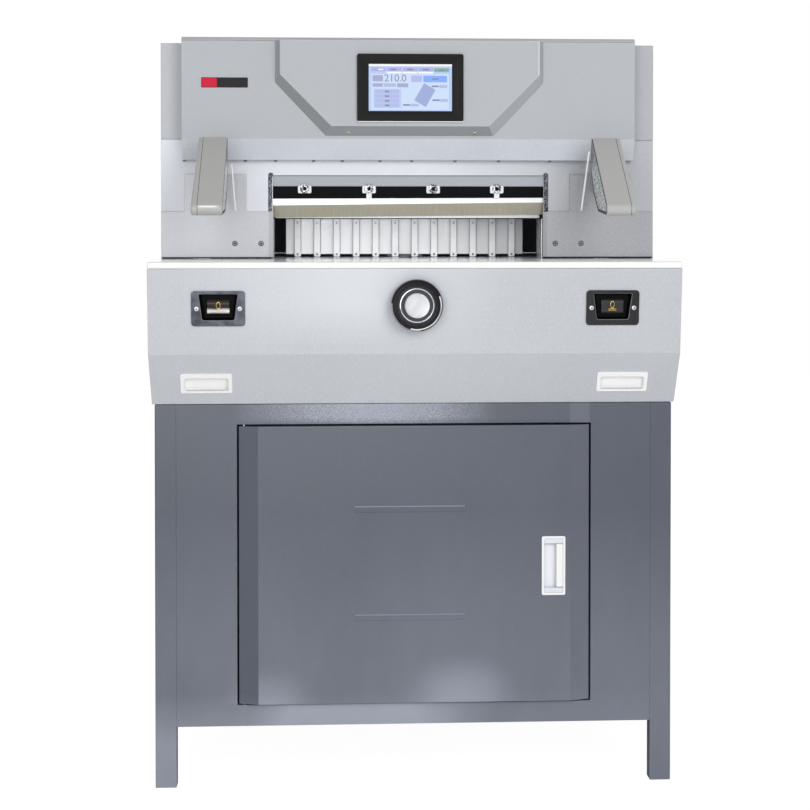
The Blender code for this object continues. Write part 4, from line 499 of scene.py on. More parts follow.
# Each finish: its maker, its colour (a user's colour by name, with a factor or not, or a fixed one)
# and the maker's other values, the named ones last.
FINISHES = {
    "head_paint": (paint, "head", 0.035, 0.03, 0.46),
    "band_paint": (paint, "band", 0.09, 0.16, 0.40, 0.1),
    "column_paint": (paint, "column", 0.04, 0.08, 0.45, {"fade": 0.26}),
    "face_paint": (paint, "face", 0.04, 0.08, 0.42, {"fade": 0.68}),
    # guard_paint's last value is its painted shade towards the right
    "guard_paint": (paint, "guard", 0.10, 0.07, 0.40, 0.15, 0.50),
    "apron_paint": (paint, "apron", 0.10, 0.05, 0.44, {"fade": 0.14, "pool": 0.52}),
    # lit and shaded copies of the head paint: painted light and shade on the console and the back
    # cover's ribs
    "wall_light": (paint, ("head", 0.94), 0.03, 0.05, 0.45),
    "wall_dark": (paint, ("head", 0.68), 0.03, 0.05, 0.5),
    "crease_paint": (paint, ("head", 1.35), 0.03, 0.05, 0.4),
    "ridge_gleam": (paint, (0.90, 0.92, 0.95), 0.03, 0.05, 0.3),
    "inner_paint": (paint, ("head", 0.86), 0.03, 0.05, 0.5),
    "cabinet_paint": (cabinet_paint, "cabinet"),
    "lip_paint": (paint, ("cabinet", 3.0), 0.03, 0.05, 0.4),
    "knife_bar_paint": (paint, (0.40, 0.43, 0.46), 0.03, 0.05, 0.5),
    # gauge_metal's last value is its painted shade towards the right
    "gauge_metal": (paint, (0.84, 0.87, 0.93), 0.02, 0.06, 0.3, 0.1, 0.62),
    # the table's last value makes its front glow: painted light
    "table_steel": (ground_steel, (0.92, 0.93, 0.96), (1.0, 0.02, 1.0), 0.12, 0.04, 0.15, 0.12),
    "rod_steel": (ground_steel, ("steel", 0.85), (0.02, 0.02, 0.02), 0.2),
    "blade_steel": (ground_steel, (0.93, 0.94, 0.96), (0.02, 1.0, 1.0), 0.34, 0.05),
    "screw_steel": (ground_steel, (0.80, 0.81, 0.83), {"roughness": 0.28}),
    "dark_screw": (ground_steel, (0.22, 0.23, 0.25), {"roughness": 0.35}),
    "brass_screw": (ground_steel, (0.72, 0.66, 0.50), {"roughness": 0.3}),
    "gold_print": (ground_steel, "gold", {"roughness": 0.3}),
    "blade_bevel": (honed_bevel,),
    "screw_ring": (cast_metal, (0.42, 0.43, 0.46), 0.5, 0.0, 0.2),
    "screw_rim": (cast_metal, (0.15, 0.15, 0.18), 0.5, 0.0, 0.2),
    "cast_black": (cast_metal, "cast", 0.65, 0.0, 0.06),
    "cast_grey": (cast_metal, (0.20, 0.21, 0.22), 0.45, 0.5),
    "motor_paint": (cast_metal, (0.06, 0.075, 0.095), 0.4, 0.0),
    "nut_noise": (speckled_metal, (0.80, 0.80, 0.84)),
    "guide_noise": (speckled_metal, (0.22, 0.22, 0.26), 0.53),
    "cap_aluminium": (turned_metal, (0.52, 0.53, 0.55), 0.36),
    "crescent": (turned_metal, (0.90, 0.91, 0.94), 0.2),
    "ring_chrome": (turned_metal, (0.62, 0.63, 0.67), 0.12),
    "rim_chrome": (turned_metal, (0.34, 0.35, 0.38), 0.12),
    "white_plastic": (moulded, "white", 0.28, 0.012),
    "frosted_plastic": (moulded, (0.70, 0.73, 0.78), 0.4, 0.06),
    "trough_plastic": (moulded, (0.80, 0.82, 0.85), 0.35, 0.02),
    "finger_plastic": (moulded, (0.94, 0.945, 0.95), 0.25, 0.03),
    "border_mauve": (moulded, (0.36, 0.36, 0.42), 0.4, 0.2),
    "black_gloss": (moulded, "black", 0.16, 0.04),
    "black_satin": (moulded, "black", 0.45, 0.06, 0.2),
    "recess_black": (moulded, (0.003, 0.003, 0.0035), 0.35, 0.1, 0.06),
    "bezel_rim": (moulded, (0.22, 0.235, 0.27), 0.2, 0.15),
    "bezel_black": (moulded, (0.010, 0.011, 0.010), 0.36, 0.05, 0.12),
    "bezel_sheen": (moulded, (0.045, 0.042, 0.032), 0.4, 0.1, 0.2),
    "seam_dark": (moulded, (0.006, 0.006, 0.007), 0.6, 0.05, 0.1),
    "wheel_black": (moulded, (0.008, 0.008, 0.008), 0.3, 0.05, 0.14),
    "dish_grey": (moulded, (0.045, 0.045, 0.055), 0.3, 0.3, 0.3),
    "badge_red": (moulded, (0.62, 0.008, 0.04), 0.35, 0.05, 0.15),
    "badge_black": (moulded, (0.010, 0.010, 0.012), 0.35, 0.05, 0.15),
    "acrylic_edge": (moulded, (0.95, 0.96, 0.98), 0.15, 0.04, {"glow_strength": 0.14}),
    "arm_plastic": (arm_plastic, "arm"),
    "button_sheen": (button_sheen,),
    "slate_plastic": (clouded_slate,),
    "acrylic": (acrylic,),
    "sheet_edge": (sheet_edge,),
    "ripple_lens": (ripple_lens,),
    "status_green": (glow, (0.05, 0.85, 0.30), 1.2),
    "screen_pale": (glow, (0.44, 0.56, 0.86)),
    "screen_white": (glow, (0.90, 0.88, 0.88)),
    "screen_sky": (glow, (0.57, 0.69, 0.90)),
    "screen_tab": (glow, (0.37, 0.39, 0.70)),
    "screen_green": (glow, (0.19, 0.40, 0.27)),
    "screen_blue": (glow, (0.20, 0.38, 0.92)),
    "screen_lilac": (glow, (0.40, 0.46, 0.76)),
    "screen_mauve": (glow, (0.34, 0.36, 0.60)),
    "screen_slate": (glow, (0.30, 0.38, 0.66)),
    "screen_ink": (glow, (0.20, 0.22, 0.36)),
}


def colour_of(value):
    """A user's colour by its name, or by its name and a factor, or a fixed colour as it is."""
    if isinstance(value, str):
        return getattr(bpy.context.scene.cutter_colours, value)
    return shade(colour_of(value[0]), value[1]) if isinstance(value[0], str) else value


def finish_named(name):
    """The material of a finish, made when it is first asked for."""
    if name not in bpy.data.materials:
        maker, *values = FINISHES[name]
        named = values.pop() if values and isinstance(values[-1], dict) else {}
        if values:
            values[0] = colour_of(values[0])
        maker(name, *values, **named)
    return bpy.data.materials[name]


# Modelling by hand

def leave():
    """Goes back to object mode."""
    bpy.ops.object.mode_set(mode="OBJECT")


def take(obj=None):
    """Leaves only this object selected, in object mode."""
    if bpy.context.object is not None and bpy.context.object.mode != "OBJECT":
        leave()
    bpy.ops.object.select_all(action="DESELECT")
    if obj is not None:
        obj.select_set(True)
        bpy.context.view_layer.objects.active = obj


def edit(obj, kind="FACE", action="SELECT"):
    """Enters edit mode on a piece, with all or nothing of it selected."""
    take(obj)
    bpy.ops.object.mode_set(mode="EDIT")
    bpy.ops.mesh.select_mode(type=kind)
    bpy.ops.mesh.select_all(action=action)


def settle():
    """Puts the active object's place into its mesh."""
    bpy.ops.object.transform_apply(location=True, rotation=True, scale=True)
    return bpy.context.object


def place(obj, where=(0, 0, 0), turn=(0, 0, 0)):
    """Turns and moves a piece that was modelled about the origin, into its mesh."""
    take(obj)
    obj.rotation_euler, obj.location = turn, where
    return settle()


def pick_faces(obj, test):
    """Enters edit mode with the faces selected that pass a test, and returns their box."""
    edit(obj, "FACE", "DESELECT")
    leave()
    picked = []
    for face in obj.data.polygons:
        face.select = bool(test(face.center, face.normal))
        if face.select:
            picked += [obj.data.vertices[index].co.copy() for index in face.vertices]
    bpy.ops.object.mode_set(mode="EDIT")
    if not picked:
        raise RuntimeError("no face to pick on " + obj.name)
    return [Vector([pick(spot[i] for spot in picked) for i in range(3)]) for pick in (min, max)]


def pick_edges(obj, test, sharp=None):
    """Enters edit mode with the edges selected that pass a test and, if asked, are sharp."""
    edit(obj, "EDGE", "DESELECT")
    if sharp is not None:
        bpy.ops.mesh.edges_select_sharp(sharpness=math.radians(sharp))
    leave()
    mesh = obj.data
    for item in (*mesh.vertices, *mesh.polygons):
        item.select = False
    for edge in mesh.edges:
        first, second = (mesh.vertices[i].co for i in edge.vertices)
        wanted = sharp is None or edge.select
        edge.select = bool(wanted and test((first + second) / 2, second - first))
    bpy.ops.object.mode_set(mode="EDIT")


def over(length):
    """A test for edges that are longer than this."""
    return lambda m, r: r.length > length


def round_off(obj, width, segments, test, sharp=None):
    """Rounds the edges of a piece that pass a test."""
    pick_edges(obj, test, sharp)
    bpy.ops.mesh.bevel(offset=width, offset_type="OFFSET", segments=segments, affect="EDGES",
                       clamp_overlap=True, profile=0.5)
    leave()
    return obj


def push(distance, direction=(0, 0, 1)):
    """Extrudes the selected faces."""
    bpy.ops.mesh.extrude_region_move(TRANSFORM_OT_translate={"value": Vector(direction) * distance})


def step(obj, test, width, height, depth=0.0):
    """Extrudes the face that passes a test backwards by a depth, to a new width and height."""
    low, high = pick_faces(obj, test)
    push(depth, (0, 1, 0))
    bpy.ops.transform.resize(value=(width / (high.x - low.x), 1, height / (high.z - low.z)),
                             center_override=(low + high) / 2 + Vector((0, depth, 0)))
    leave()


def smooth(obj, degrees=35):
    """Smooth shading that keeps flat faces flat, with its normals pointing out."""
    edit(obj)
    bpy.ops.mesh.normals_make_consistent(inside=False)
    leave()
    bpy.ops.object.shade_smooth_by_angle(angle=math.radians(degrees))
    weighted = obj.modifiers.new("flat_faces", "WEIGHTED_NORMAL")
    weighted.keep_sharp = True
    bpy.ops.object.modifier_apply(modifier=weighted.name)
    return obj


def dye(obj, *finishes):
    """Adds finishes to a piece; the first of all covers it."""
    for finish in finishes:
        obj.data.materials.append(finish_named(finish))
    return obj


def stain(obj, finish, test):
    """Gives the faces that pass a test another finish."""
    dye(obj, finish)
    for face in obj.data.polygons:
        if test(face.center, face.normal):
            face.material_index = len(obj.data.materials) - 1


def coat(finish, *nodes):
    """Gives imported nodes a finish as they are."""
    for node in nodes:
        frame["nodes"][node].data.materials.clear()
        dye(frame["nodes"][node], finish)


def fit(obj, name, body, slot, finish=None, *nodes):
    """Gives a finished piece its name, material and body, and hides the nodes that it stands for; slot
    is not used.
    """
    obj.name = obj.data.name = name
    if finish:
        obj.data.materials.clear()
        dye(obj, finish)
    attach(obj, body)
    if nodes:
        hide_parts(*nodes)


def copy_node(node, ring=False):
    """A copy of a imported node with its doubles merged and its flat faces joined.

    A node with a flat face all round an opening is a ring: that face stays in two halves.
    """
    mesh = frame["nodes"][node].data.copy()
    mesh.materials.clear()
    obj = bpy.data.objects.new("copy", mesh)
    bpy.context.scene.collection.objects.link(obj)
    edit(obj, "EDGE")
    bpy.ops.mesh.remove_doubles(threshold=0.00002)
    if ring:
        bpy.ops.mesh.bisect(plane_co=(0.011, 0, 0), plane_no=(1, 0, 0))
        bpy.ops.mesh.mark_seam()
        bpy.ops.mesh.select_all(action="SELECT")
    bpy.ops.mesh.dissolve_limited(angle_limit=math.radians(0.5), delimit={"SEAM"})
    leave()
    return obj


def soften(node, width, segments=2, test=None, sharp=18, ring=False):
    """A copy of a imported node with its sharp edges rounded."""
    return smooth(round_off(copy_node(node, ring), width, segments, test or over(3 * width), sharp))


def block(low, high):
    """A block between two corners, to be shaped further."""
    take()
    low, high = Vector(low), Vector(high)
    bpy.ops.mesh.primitive_cube_add(size=1, location=(low + high) / 2)
    bpy.context.object.scale = high - low
    return settle()


def pebble(low, high, width, finish=None, segments=2):
    """A block with all its edges rounded."""
    obj = smooth(round_off(block(low, high), width, segments, over(0)))
    return dye(obj, finish) if finish else obj


def plate(low, high, corner, rim, segments=4):
    """A plate that faces the front, with round corners and a softened front rim."""
    obj = round_off(block(low, high), corner, segments, lambda m, r: abs(r.y) > 0.9 * r.length)
    front = min(low[1], high[1])
    return round_off(obj, rim, 2, lambda m, r: abs(m.y - front) < 1e-6 and abs(r.y) < 1e-6)


def lathe(rings, sides):
    """A turned piece about the y axis at the origin, from (radius, depth) rings, front first."""
    take()
    radius, depth = rings[0]
    bpy.ops.mesh.primitive_circle_add(vertices=sides, radius=radius, fill_type="NGON",
                                      location=(0, depth, 0), rotation=(TURN, 0, 0))
    obj = settle()
    edit(obj)
    for next_radius, next_depth in rings[1:]:
        push(next_depth - depth, (0, 1, 0))
        scale = next_radius / radius
        bpy.ops.transform.resize(value=(scale, 1, scale), center_override=(0, next_depth, 0))
        radius, depth = next_radius, next_depth
    leave()
    return obj


def torus(major, minor, around, across, y=0.0):
    """A ring about the y axis."""
    take()
    bpy.ops.mesh.primitive_torus_add(major_radius=major, minor_radius=minor, major_segments=around,
                                     minor_segments=across, location=(0, y, 0), rotation=(TURN, 0, 0))
    return bpy.context.object


def join(*pieces):
    """Joins pieces into the first one."""
    take(pieces[0])
    for piece in pieces:
        piece.select_set(True)
    if len(pieces) > 1:
        bpy.ops.object.join()
    return bpy.context.object


def repeat(pattern, places, turn=(0, 0, 0)):
    """Copies of a pattern at places, joined; the pattern itself is used up."""
    made = []
    for where in places:
        copy = pattern.copy()
        copy.data = pattern.data.copy()
        bpy.context.scene.collection.objects.link(copy)
        made.append(place(copy, where, turn))
    bpy.data.objects.remove(pattern)
    return join(*made)


def socket_screw(radius, height, finish="screw_steel", socket_shade="dark_screw"):
    """A screw head that faces the front, with a domed rim and a hexagon socket painted dark as shade.
    """
    obj = smooth(lathe([(radius * 0.42, -height * 0.2), (radius * 0.42, -height),
                        (radius * 0.80, -height), (radius * 0.96, -height * 0.72),
                        (radius, -height * 0.35), (radius, 0.0)], 18), 50)
    # painted shade: the socket's faces take the darker finish
    stain(dye(obj, finish), socket_shade, lambda c, n: c.xz.length < radius * 0.45)
    return obj


def guard_screw(radius):
    """A countersunk screw: a dark rim, a bright ring and a hexagon socket painted black as shade."""
    obj = smooth(lathe([(radius * 0.34, 0.0004), (radius * 0.36, -0.0010), (radius * 0.58, -0.0012),
                        (radius * 0.64, -0.0007), (radius * 0.90, -0.0007), (radius, -0.0003),
                        (radius, 0.0)], 24), 40)
    stain(dye(obj, "screw_rim"), "screw_ring",
          lambda c, n: radius * 0.36 < c.xz.length < radius * 0.60 and n.y < -0.5)
    # painted shade: the socket is black
    stain(obj, "seam_dark", lambda c, n: c.xz.length < radius * 0.35)
    return obj


def on_apron(piece, x, height):
    """Lays a piece that faces the front on the apron's face, above or below its crease."""
    low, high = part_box("apron")
    crease_z, crease_depth = APRON_CREASE
    crease = at(0, crease_depth, crease_z)
    if height > crease_z:
        (top_z, top_depth), (foot_z, foot_depth) = APRON_TOP, APRON_CREASE
        lean = math.atan2(crease.y - low.y, high.z - crease.z)
    else:
        (top_z, top_depth), (foot_z, foot_depth) = APRON_CREASE, APRON_FOOT
        lean = math.atan2(TABLE_FRONT + foot_depth - crease.y, crease.z - low.z)
    depth = top_depth + (foot_depth - top_depth) * (top_z - height) / (top_z - foot_z)
    return place(piece, at(x, depth, height), (lean, 0, 0))


# The pieces

def make_cabinet():
    """The cabinet's sides, front frame, back and floor."""
    edge = sizes().sheet_edge
    seam_x, row_pitch = 0.43, 0.022
    butt = lambda m, r: (r.length > 3 * edge
                         and not (abs(abs(m.x) - seam_x) < 0.004 and abs(r.z) > 0.05))
    for name, side in SIDES:
        node = "cabinet_side_" + name
        panel = dye(soften(node, edge, 2, butt), "cabinet_paint")
        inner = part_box(node)[0 if side > 0 else 1].x
        # painted shade: the legs' inner faces take the darker motor paint
        stain(panel, "motor_paint", lambda c, n: n.x * side < -0.9 and abs(c.x - inner) < 0.001)
        fit(panel, "side_panel_" + name, "frame", "dark_paint", None, node)
    fit(soften("cabinet_front_frame", edge * 0.7, 2, butt, ring=True), "door_surround", "frame",
        "dark_paint", "cabinet_paint", "cabinet_front_frame")
    back = soften("cabinet_back", edge * 0.5)
    rear = max(vertex.co.y for vertex in back.data.vertices)
    fit(back, "back_panel", "frame", "dark_paint", "cabinet_paint", "cabinet_back")
    louvre = block((-0.060, 0, -0.006), (0.060, 0.007, 0.006))
    round_off(louvre, 0.0068, 4, lambda m, r: m.z > 0 and m.y > 0.001 and abs(r.x) > 0.01)
    round_off(louvre, 0.0008, 1,
              lambda m, r: abs(r.z) > 0.0005 and m.y > 0.001 or abs(r.y) > 0.0005)
    rows = [(x, rear, 0.46 + row_pitch * row) for x in (-0.16, 0.16) for row in range(9)]
    fit(repeat(smooth(louvre), rows), "back_louvres", "frame", "dark_paint", "cabinet_paint")
    spots = [(x, rear, z) for x in (-0.415, 0.415) for z in (0.13, 0.33, 0.53, 0.73, 0.90)]
    fit(repeat(socket_screw(0.0045, 0.0022), spots, (0, 0, math.pi)), "back_panel_screws", "frame",
        "steel")
    coat("cabinet_paint", "cabinet_floor")
    coat("cast_grey", "base_plate")


def make_door():
    """The bowed door with its slots, its pins and the flush pull."""
    door = dye(soften("door", sizes().sheet_edge * 0.55, 2, over(0.004)), "cabinet_paint")
    low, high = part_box("door")
    # painted highlight along the door's top edge
    stain(door, "lip_paint", lambda c, n: n.y < -0.15 and n.z > 0.15 and c.z > high.z - 0.004
          and low.x + 0.034 < c.x < high.x - 0.034)
    fit(door, "cabinet_door", "door", "dark_paint", None, "door")
    coat("rod_steel", "hinge_pin_upper", "hinge_pin_lower")
    # the slot lips are beads that carry a painted highlight
    lips = [pebble(at(-0.1085, 0.0556, z), at(0.0900, 0.0568, z + 0.0022), 0.0004)
            for z in (0.5062, 0.3100)]
    fit(join(*lips), "door_slot_lips", "door", "dark_paint", "lip_paint")

    low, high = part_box("door_pull")
    front, flat, middle = low.y, low.y + 0.0017, (low + high) / 2
    width, height = high.x - low.x, high.z - low.z
    near = lambda c: abs(c.x - middle.x) < 0.002 and abs(c.z - middle.z) < 0.002
    behind = lambda c, n: n.y > 0.9 and near(c)
    ahead = lambda c, n: n.y < -0.9 and near(c)
    rim = plate((low.x, front, low.z), (high.x, flat, high.z), 0.003, 0.0006)
    step(rim, behind, width - 0.0060, height - 0.0060)
    step(rim, behind, width - 0.0068, height - 0.0068, 0.0135)
    step(rim, ahead, width - 0.0080, height - 0.0080)
    step(rim, ahead, width - 0.0100, height - 0.0100, 0.0125)
    stain(dye(smooth(rim), "white_plastic"), "trough_plastic", lambda c, n: c.y > flat and n.y < -0.5)
    bands = [pebble((low.x + 0.0042, front + 0.0004, z), (high.x - 0.0042, front + 0.0105, z + 0.0093),
                    0.0012, "frosted_plastic") for z in (low.z + 0.0042, high.z - 0.0135)]
    lip = pebble((low.x + 0.0265, front + 0.0004, middle.z - 0.0392),
                 (high.x - 0.0042, front + 0.0060, middle.z + 0.0392), 0.0018, "white_plastic", 3)
    fit(join(rim, lip, *bands), "door_handle", "door", "white_plastic", None, "door_pull")


def make_table():
    """The ground table with its trim, the cutting stick and the side lays."""
    fit(soften("table", 0.0008, 2, over(0.02)), "table_plate", "frame", "steel", "table_steel", "table")
    fit(soften("table_trim", 0.0030, 4), "front_trim", "frame", "white_plastic", "white_plastic",
        "table_trim")
    coat("trough_plastic", "cutting_stick")
    # a black strip along the foot of each guard: a painted shadow
    lines = [pebble(at(x0, 0.2800, TABLE_TOP + 0.0008), at(x1, 0.2812, TABLE_TOP + 0.0026), 0.0003,
                    segments=1) for x0, x1 in ((-0.474, -OPENING), (OPENING, 0.474))]
    fit(join(*lines), "guard_seals", "frame", "black_plastic", "seam_dark")
    for (name, side), finish in zip(SIDES, ("cast_grey", "ripple_lens")):
        x0, x1 = sorted((side * OPENING, side * 0.2665))
        lay = pebble(at(x0, 0.3096, TABLE_TOP + 0.0003), at(x1, 0.388, 1.0265), 0.0008)
        fit(lay, "side_lay_" + name, "frame", "steel", "rod_steel")
        stain(lay, finish, lambda c, n: n.x * side < -0.9)


def make_apron():
    """The folded front cover."""
    apron = soften("apron", sizes().sheet_edge, 3,
                   lambda m, r: r.length > 0.05 and not (abs(m.x) < 0.44 and r.length < 0.2), 12)
    foot, narrowing, middle_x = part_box("apron")[0].z + 0.004, 0.995, 0.0002
    pick_edges(apron, lambda m, r: m.z < foot and abs(r.z) < 0.002)
    bpy.ops.transform.resize(value=(narrowing, 1, 1), center_override=(middle_x, 0, 0))
    leave()
    fit(apron, "front_cover", "frame", "grey_paint", "apron_paint", "apron")


def cup_plate(width, height, thick, corner, mouth, deep, floor_scale, drop, narrow, round_by):
    """A plate that faces the front with a cup pressed into it; mouth is the cup's width and height."""
    half_x, half_z, floor = mouth[0] / 2, mouth[1] / 2, deep - thick
    near = lambda c: abs(c.x) < 0.004 and abs(c.z) < 0.006
    behind = lambda c, n: n.y > 0.9 and near(c)
    obj = plate((-width / 2, -thick, -height / 2), (width / 2, 0, height / 2), corner, 0.0007)
    step(obj, behind, width - 0.004, height - 0.004)
    step(obj, behind, width - 0.006, height - 0.006, floor + 0.002)
    cutter = block((-half_x, -thick - 0.004, -half_z + drop), (half_x, floor, half_z + drop))
    for vertex in cutter.data.vertices:
        if vertex.co.z < drop:
            vertex.co.x *= narrow
        if vertex.co.y > 0:
            vertex.co.x *= floor_scale
            vertex.co.z = drop + (vertex.co.z - drop) * floor_scale
    round_off(cutter, round_by, 5, lambda m, r: abs(r.y) > 0.5 * r.length)
    round_off(cutter, 0.0015, 3, lambda m, r: m.y > floor - 1e-5)
    take(obj)
    cut = obj.modifiers.new("mouth", "BOOLEAN")
    cut.operation, cut.object, cut.solver = "DIFFERENCE", cutter, "EXACT"
    bpy.ops.object.modifier_apply(modifier=cut.name)
    bpy.data.objects.remove(cutter)
    return smooth(round_off(obj, 0.0010, 3, lambda m, r: abs(m.y + thick) < 1e-5
                            and abs(m.x) < half_x + 0.0004 and abs(m.z - drop) < half_z + 0.0004, 30))


def make_buttons():
    """The two cut buttons in their black bezels."""
    across, height = 0.3506, 0.8677
    for name, side in SIDES:
        x = side * across
        bezel = dye(cup_plate(0.095, 0.063, 0.003, 0.006, (0.0722, 0.0490), 0.0128, 0.84, 0.0024, 0.82,
                              0.0030), "slate_plastic")
        stain(bezel, "recess_black",
              lambda c, n: c.y > -0.0021 and abs(c.x) < 0.0362 and abs(c.z - 0.0024) < 0.0248)
        stain(bezel, "bezel_rim",
              lambda c, n: c.y < -0.0019 and n.y > -0.97 and abs(c.x) < 0.0385 and abs(c.z) < 0.0270)
        fit(on_apron(bezel, x, height), "cut_bezel_" + name, "frame", "black_plastic", None,
            "button_bezel_" + name)
        screws = repeat(socket_screw(0.0042, 0.0020), [(-0.0380, -0.003, 0), (0.0380, -0.003, 0)])
        fit(on_apron(screws, x, height), "bezel_screws_" + name, "frame", "steel")
        button = block((-0.020, 0.0016, -0.0138), (0.020, 0.0215, 0.0158))
        round_off(button, 0.0090, 8, lambda m, r: m.y < 0.002 and abs(r.x) > 0.01)
        round_off(button, 0.0009, 2, lambda m, r: m.y < 0.015 and abs(m.x) > 0.0195, 25)
        dye(smooth(button), "button_sheen" if side < 0 else "black_gloss")
        loop = torus(0.0026, 0.00034, 32, 8)
        loop.scale = (1.35, 2.3, 1.0)
        settle()
        for vertex in loop.data.vertices:
            if vertex.co.z < 0:
                vertex.co.x *= 1 + 0.16 * vertex.co.z / 0.005
        place(loop, (0, 0.0015, 0.0048 if side < 0 else 0.0050))
        mark = [dye(smooth(loop, 60), "gold_print")]
        if side > 0:
            mark += [pebble((-0.0070, 0.0012, z0), (0.0070, 0.0019, z1), 0.0002, "gold_print", 1)
                     for z0, z1 in ((-0.0032, -0.0020), (-0.0056, -0.0046))]
        fit(on_apron(join(button, *mark), x, height), "cut_button_" + name, "button_" + name,
            "black_plastic", None, "button_" + name)


def make_pulls():
    """The two white flush pulls in the slanted panel."""
    for name, side in SIDES:
        pull = dye(cup_plate(0.092, 0.040, 0.002, 0.0035, (0.0800, 0.0278), 0.0080, 0.94, -0.0030, 1.0,
                             0.0045), "white_plastic")
        fit(on_apron(pull, side * 0.374, 0.7323), "flush_pull_" + name, "frame", "white_plastic", None,
            "pull_" + name)


def make_face():
    """The face plate, the guards with folded inner edges and the side castings."""
    fit(soften("face_plate", 0.0009, 2, over(0.0008)), "throat_plate", "frame", "pale_paint",
        "face_paint", "face_plate")
    strips, fold, fold_depth = [], 0.0088, 0.0060
    for name, side in SIDES:
        guard = copy_node("guard_" + name)
        inner = side * OPENING
        low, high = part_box("guard_" + name)
        edit(guard)
        bpy.ops.mesh.bisect(plane_co=(inner + side * fold, 0, 0), plane_no=(1, 0, 0))
        leave()
        for vertex in guard.data.vertices:
            if abs(vertex.co.x - inner) < 1e-5:
                vertex.co.y += fold_depth
        round_off(guard, 0.0008, 2, lambda m, r: r.length > 0.004 and m.y < high.y + 0.004, 20)
        fit(smooth(guard), "throat_guard_" + name, "frame", "pale_paint", "guard_paint",
            "guard_" + name)
        spots = [(side * x, low.y, 0.979) for x in (0.284, 0.334)]
        fit(repeat(guard_screw(sizes().screw_radius), spots), "guard_screws_" + name, "frame", "steel")
        fit(soften("column_" + name, sizes().casting_edge), "side_casting_" + name, "frame",
            "grey_paint", "column_paint", "column_" + name)
    for name, side in SIDES:
        x0, x1 = sorted((side * 0.2622, side * 0.2720))
        strips.append(pebble(at(x0, 0.2893, 1.0200), at(x1, 0.2902, 1.1180), 0.0002, "guide_noise", 1))
        x0, x1 = sorted((side * 0.2617, side * 0.2625))
        strips.append(pebble(at(x0, 0.2889, 1.0380), at(x1, 0.2899, 1.1080), 0.0002, "rod_steel", 1))
    fit(join(*strips), "knife_guide_strips", "frame", "dark_steel")
    coat("cast_black", "upper_beam")
    coat("rod_steel", "clamp_guide_left", "clamp_guide_right")


def make_head():
    """The head's covers, their screws and the blank badge."""
    edge = sizes().sheet_edge
    cover = dye(soften("head_cover", 0.0012, 2, over(0.006), 15), "head_paint")
    # the downward band of the same sheet is painted lighter: painted light, with more sparkle
    stain(cover, "band_paint", lambda c, n: n.z < -0.2 and n.y < -0.5)
    fit(cover, "head_front_cover", "frame", "grey_paint", None, "head_cover")
    fit(soften("head_rear_cover", edge, 3), "head_back_cover", "frame", "grey_paint", "head_paint",
        "head_rear_cover")
    fit(soften("rear_hood", edge, 3, ring=True), "table_hood", "frame", "grey_paint", "head_paint",
        "rear_hood")
    lip_screws = (-0.4305, -0.3137, -0.2561, -0.1834, -0.1281, -0.0556, 0.0055, 0.0893, 0.174, 0.273)
    # the lip screws' sockets take the dark rim finish as painted shade
    screw = socket_screw(sizes().rivet_radius, 0.0024, "dark_screw", "screw_rim")
    fit(repeat(screw, [at(x, 0.2850, 1.1392) for x in lip_screws]), "lip_screws", "frame", "dark_steel")
    badge = smooth(plate(at(-0.3955, 0.2488, 1.2755), at(-0.3075, 0.2501, 1.2945), 0.0012, 0.0004))
    field = smooth(plate(at(-0.3945, 0.2484, 1.2765), at(-0.3660, 0.2490, 1.2935), 0.0008, 0.0002))
    fit(join(dye(badge, "badge_black"), dye(field, "badge_red")), "blank_badge", "frame",
        "black_plastic")
    rear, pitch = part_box("head_rear_cover")[1].y, 0.0135
    spots = [(x, rear, z) for x in (-0.41, -0.14, 0.14, 0.41) for z in (1.172, 1.350)]
    fit(repeat(socket_screw(0.0045, 0.0022), spots, (0, 0, math.pi)), "back_cover_screws", "frame",
        "steel")
    louvre = block((-0.0030, 0, -0.045), (0.0030, 0.0030, 0.045))
    round_off(louvre, 0.0029, 3, lambda m, r: abs(r.y) > 0.001)
    round_off(louvre, 0.0008, 2, lambda m, r: m.y > 0.0029)
    rows = [(-0.13 + pitch * i, rear, 1.262) for i in range(20)]
    # the ribs take the shaded head paint: painted shade
    fit(repeat(smooth(louvre), rows), "back_cover_ribs", "frame", "grey_paint", "inner_paint")


# Lit patches of the display: the finish, left, top, right and bottom, each a share of the display,
# and the layer. Rows of like patches are written out by make_console.
PATCHES = (
    ("screen_white", 0.0, 0.0, 1.0, 0.045, 1), ("screen_sky", 0.03, 0.21, 0.965, 0.975, 1),
    ("screen_green", 0.785, 0.085, 0.965, 0.165, 2), ("screen_mauve", 0.045, 0.235, 0.17, 0.37, 2),
    ("screen_lilac", 0.51, 0.245, 0.64, 0.38, 2), ("screen_blue", 0.655, 0.245, 0.94, 0.385, 2),
    ("screen_mauve", 0.045, 0.41, 0.17, 0.485, 2), ("screen_lilac", 0.18, 0.41, 0.325, 0.485, 2),
    ("screen_mauve", 0.34, 0.41, 0.475, 0.495, 2), ("screen_pale", 0.055, 0.53, 0.39, 0.935, 2),
    ("screen_white", 0.115, 0.10, 0.175, 0.13, 4))
INK = ((0.26, 0.10, 0.07), (0.46, 0.10, 0.07), (0.65, 0.10, 0.07), (0.84, 0.11, 0.07),
       (0.76, 0.30, 0.08))


